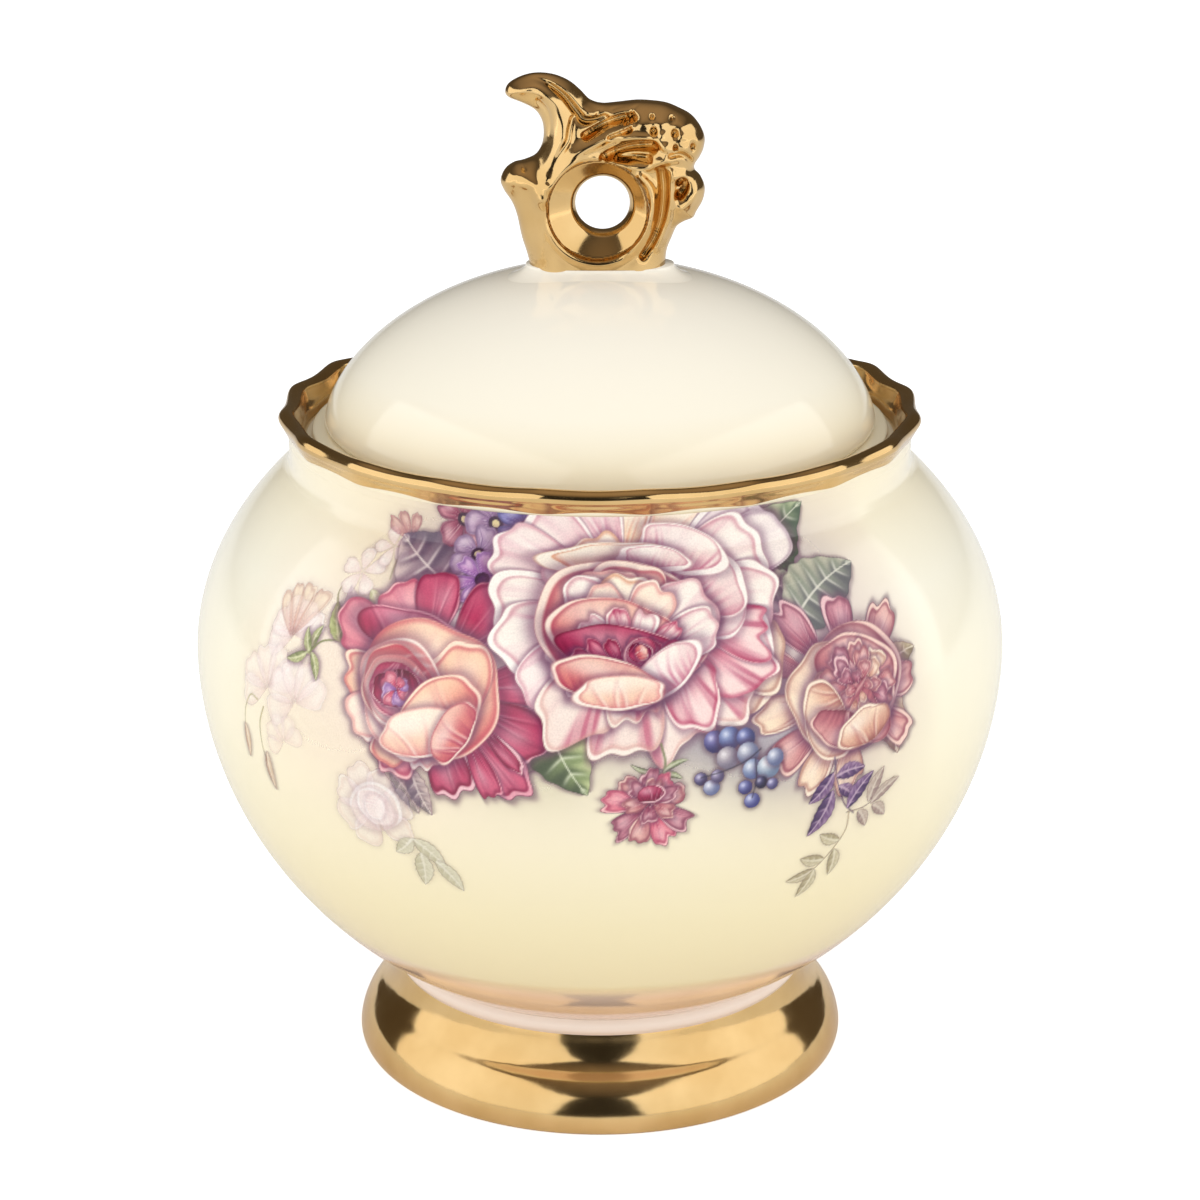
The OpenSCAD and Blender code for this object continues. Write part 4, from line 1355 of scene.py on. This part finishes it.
def paint_front(sheet):
    """The small blossom, the berries and the sprigs under the roses."""
    for at, r, dark, light in (
        ((-4.6, 3.2), 1.5, (44, 40, 92), (126, 122, 182)),
        ((-2.6, 3.5), 1.5, (58, 66, 120), (150, 166, 206)),
        ((-0.4, 3.3), 1.3, (44, 48, 100), (130, 140, 196)),
        ((-3.0, 0.9), 1.5, (120, 112, 130), (206, 196, 198)),
        ((-0.2, 1.2), 1.5, (98, 104, 136), (204, 206, 216)),
        ((0.4, -1.0), 1.4, (88, 104, 150), (196, 206, 222)),
        ((2.6, -1.0), 1.6, (110, 128, 154), (218, 226, 230)),
        ((3.6, 0.2), 1.2, (96, 104, 140), (200, 206, 222)),
        ((-6.6, -1.6), 0.9, (60, 54, 90), (150, 140, 180)),
        ((-5.2, -2.9), 1.1, (104, 112, 150), (204, 206, 222)),
        ((-4.4, -1.4), 0.9, (80, 70, 104), (170, 160, 190)),
        ((-0.6, -3.4), 1.0, (56, 56, 112), (146, 150, 200)),
        ((1.6, -3.0), 0.9, (30, 26, 52), (90, 86, 130)), ((0.4, -5.4), 1.1, (64, 66, 126), (160, 166, 210)),
        ((3.2, -3.4), 0.8, (70, 66, 110), (160, 156, 196)),
    ):
        berry(sheet, (19.4, 2.1), at, r, dark, light, 0.95)
    stroke(
        sheet, (19.4, 2.1), [(-6.6, -1.4), (-3.6, -0.8), (-0.6, 0.2), (1.6, 1.6)], 0.25, 0.3, (50, 44, 60),
        0.8,
    )
    stroke(sheet, (19.4, 2.1), [(0.4, -5), (0.9, -2.6), (0.8, 0.4)], 0.25, 0.3, (50, 44, 60), 0.8)

    # Blossom
    c = (6.3, -3.1)
    stroke(sheet, c, [(1.5, 8.6), (2.0, 6.0), (1.2, 3.2)], 0.5, 0.6, (128, 134, 96), 0.9)
    leaves(
        sheet, c, 0.1, ((96, 106, 74), (140, 150, 106), (190, 196, 150), (220, 222, 190)), 0.9, 2, 0.1,
        [
            ((1.4, 4.8), (-2.6, 6.2), 0.9), ((1.6, 4.8), (5.2, 6.4), 0.9), ((1.4, 4.6), (4.4, 3.8), 1.0),
            ((1.2, 4.4), (-1.2, 3.6), 0.9),
        ],
    )
    for k in range(9):
        turn = 96 + 40 * k + sheet.rng.uniform(-6, 6)
        fan(
            sheet, c, (0, 0.4), turn, 5.9 if 150 < turn % 360 < 390 else 5.0, 54,
            ("plum", "dusty", "rose")[k % 3], 0.1, 1, 0.55, 0.4,
        )
    for k in range(6):
        fan(
            sheet, c, (0.2, 1.0), 80 + 60 * k + sheet.rng.uniform(-8, 8), 3.4, 72, ("dusty", "plum")[k % 2],
            0.1, 1, 0.7, 0.5,
        )
    cup(sheet, c, (0.2, 2.0), 10, 2.0, 1.3, "wine", 0.2, 1, 0.5)

    # Sprigs
    purple = ((60, 34, 84), (108, 74, 122), (160, 130, 160), (196, 170, 190))
    beige = ((166, 152, 118), (196, 184, 150), (222, 212, 182), (234, 226, 200))
    stroke(
        sheet, (31.8, -3), [(0, 3.6), (0.5, 0.4), (2.0, -3.4), (3.9, -5.4)], 0.35, 0.3, (96, 74, 104), 0.9
    )
    leaves(
        sheet, (31.8, -3), 0.07, purple, 0.9, 4, 0.15,
        [
            ((0, 1.5), (-3.8, -2.4), 2.4), ((0.3, 0.8), (5.2, 1.2), 2.4), ((0.8, -0.6), (3.8, -3.2), 2.0),
            ((2.6, -4.4), (6.8, 0.2), 2.5), ((0, -1), (-3.4, -7.4), 2.8),
        ],
    )
    mauve = ((150, 124, 120), (184, 164, 150), (212, 196, 178), (226, 214, 198))
    stroke(sheet, (36.5, -8), [(-2, 0), (1, 0.1), (4, 1.6), (6, 3.2)], 0.3, 0.25, (150, 130, 116), 0.8)
    leaves(
        sheet, (36.5, -8), 0.07, mauve, 0.8, 4, 0.1,
        [
            ((1.6, 0.6), (4.0, 5.4), 2.2), ((2, 0.2), (7.2, 3.0), 1.8), ((0, -0.2), (1.8, -3.2), 1.9),
            ((2.4, 0), (5.2, -2.4), 1.9),
        ],
    )
    stroke(
        sheet, (32.5, -13.5), [(2.4, 5.6), (2.2, 2.4), (-0.4, -1.4), (-3.8, -4.6)], 0.35, 0.25,
        (190, 176, 146), 0.85,
    )
    leaves(
        sheet, (32.5, -13.5), 0.07, beige, 0.85, 4, 0.08,
        [
            ((1.6, 1.2), (-2.0, 3.0), 1.9), ((1.0, 0), (1.0, -4.6), 2.0), ((-0.4, -1.4), (-4.4, -0.4), 2.0),
            ((-1.6, -2.8), (-5.8, -4.0), 1.8), ((-1.6, -2.8), (-3.4, -7.4), 2.1),
        ],
    )


def wall_frame():
    """Arc length up the wall from its widest line, with the radius and height there."""
    line = np.vstack([wall_line(), [(NECK_WAIST + 0.1, LEDGE_Z + 0.6), (NECK_WAIST + 0.2, LEDGE_Z + 1.2)]])
    arc = np.concatenate([[0], np.cumsum(np.hypot(*np.diff(line, axis=0).T))])
    arc -= np.interp(BELLY_Z, line[:, 1], arc)
    return arc, line


def make_transfer(material):
    """Paints the sheet and lays it on the wall in tiles, leaving out all that is bare."""
    arc, line = wall_frame()
    first, last = SIDES
    rng = np.random.default_rng(PAINT_SEED)

    def radius(rise):
        return np.interp(rise, arc, line[:, 0])

    sheet = Sheet(first, last, LOWEST_RISE, arc[-1], PAINT_STEP, radius, rng)
    paint_back(sheet)
    paint_left_rose(sheet)
    paint_right_rose(sheet)
    paint_central_rose(sheet)
    paint_front(sheet)
    sheet.cover *= smooth((sheet.degrees - first) / SIDE_FADE) * smooth((last - sheet.degrees) / SIDE_FADE)

    slope = np.gradient(line, arc, axis=0)
    out = np.stack([slope[:, 1], -slope[:, 0]], -1) / np.hypot(*slope.T)[:, None]
    wall = line + out * TRANSFER_OFFSET
    r, z = np.interp(sheet.rise, arc, wall[:, 0]), np.interp(sheet.rise, arc, wall[:, 1])
    angle = FRONT + np.radians(sheet.degrees)
    shape = sheet.cover.shape
    points = np.stack(
        [r[:, None] * np.cos(angle), r[:, None] * np.sin(angle), np.broadcast_to(z[:, None], shape)], -1
    )
    paint = np.concatenate([linear_rgb(sheet.colour), sheet.cover[..., None]], -1)
    row_cuts, column_cuts = (np.linspace(0, n - 1, tiles + 1).astype(int) for n, tiles in zip(shape, TILES))
    for i in range(TILES[0]):
        for j in range(TILES[1]):
            part = (slice(row_cuts[i], row_cuts[i + 1] + 1), slice(column_cuts[j], column_cuts[j + 1] + 1))
            cover = sheet.cover[part]
            faces = np.array(grid_faces(*cover.shape))
            faces = faces[cover.ravel()[faces].max(-1) > 0.004]
            if not len(faces):
                continue
            used, faces = np.unique(faces, return_inverse=True)
            quads = faces.reshape(-1, 4).tolist()
            tile = mesh_piece(f"transfer_{i}_{j}", points[part].reshape(-1, 3)[used], quads, material, 180)
            colours = tile.data.color_attributes.new("paint", "FLOAT_COLOR", "POINT")
            colours.data.foreach_set("color", paint[part].reshape(-1, 4)[used].ravel())
            tile.visible_shadow = False
            place(tile, "bowl", "flower_enamel", "rose_transfer")


# ---------------------------------------------------------------- the scene

make_camera()
make_floor()
make_lights()
CREAM = cream_glaze()
BLUSH = blush_glaze()
GOLD = gold_lustre()
make_belly(CREAM)
make_rim(GOLD, CREAM)
make_collar(BLUSH)
make_foot(GOLD)
make_lid(CREAM)
make_flange(CREAM)
make_pad(CREAM)
make_finial(GOLD)
make_transfer(flower_enamel())
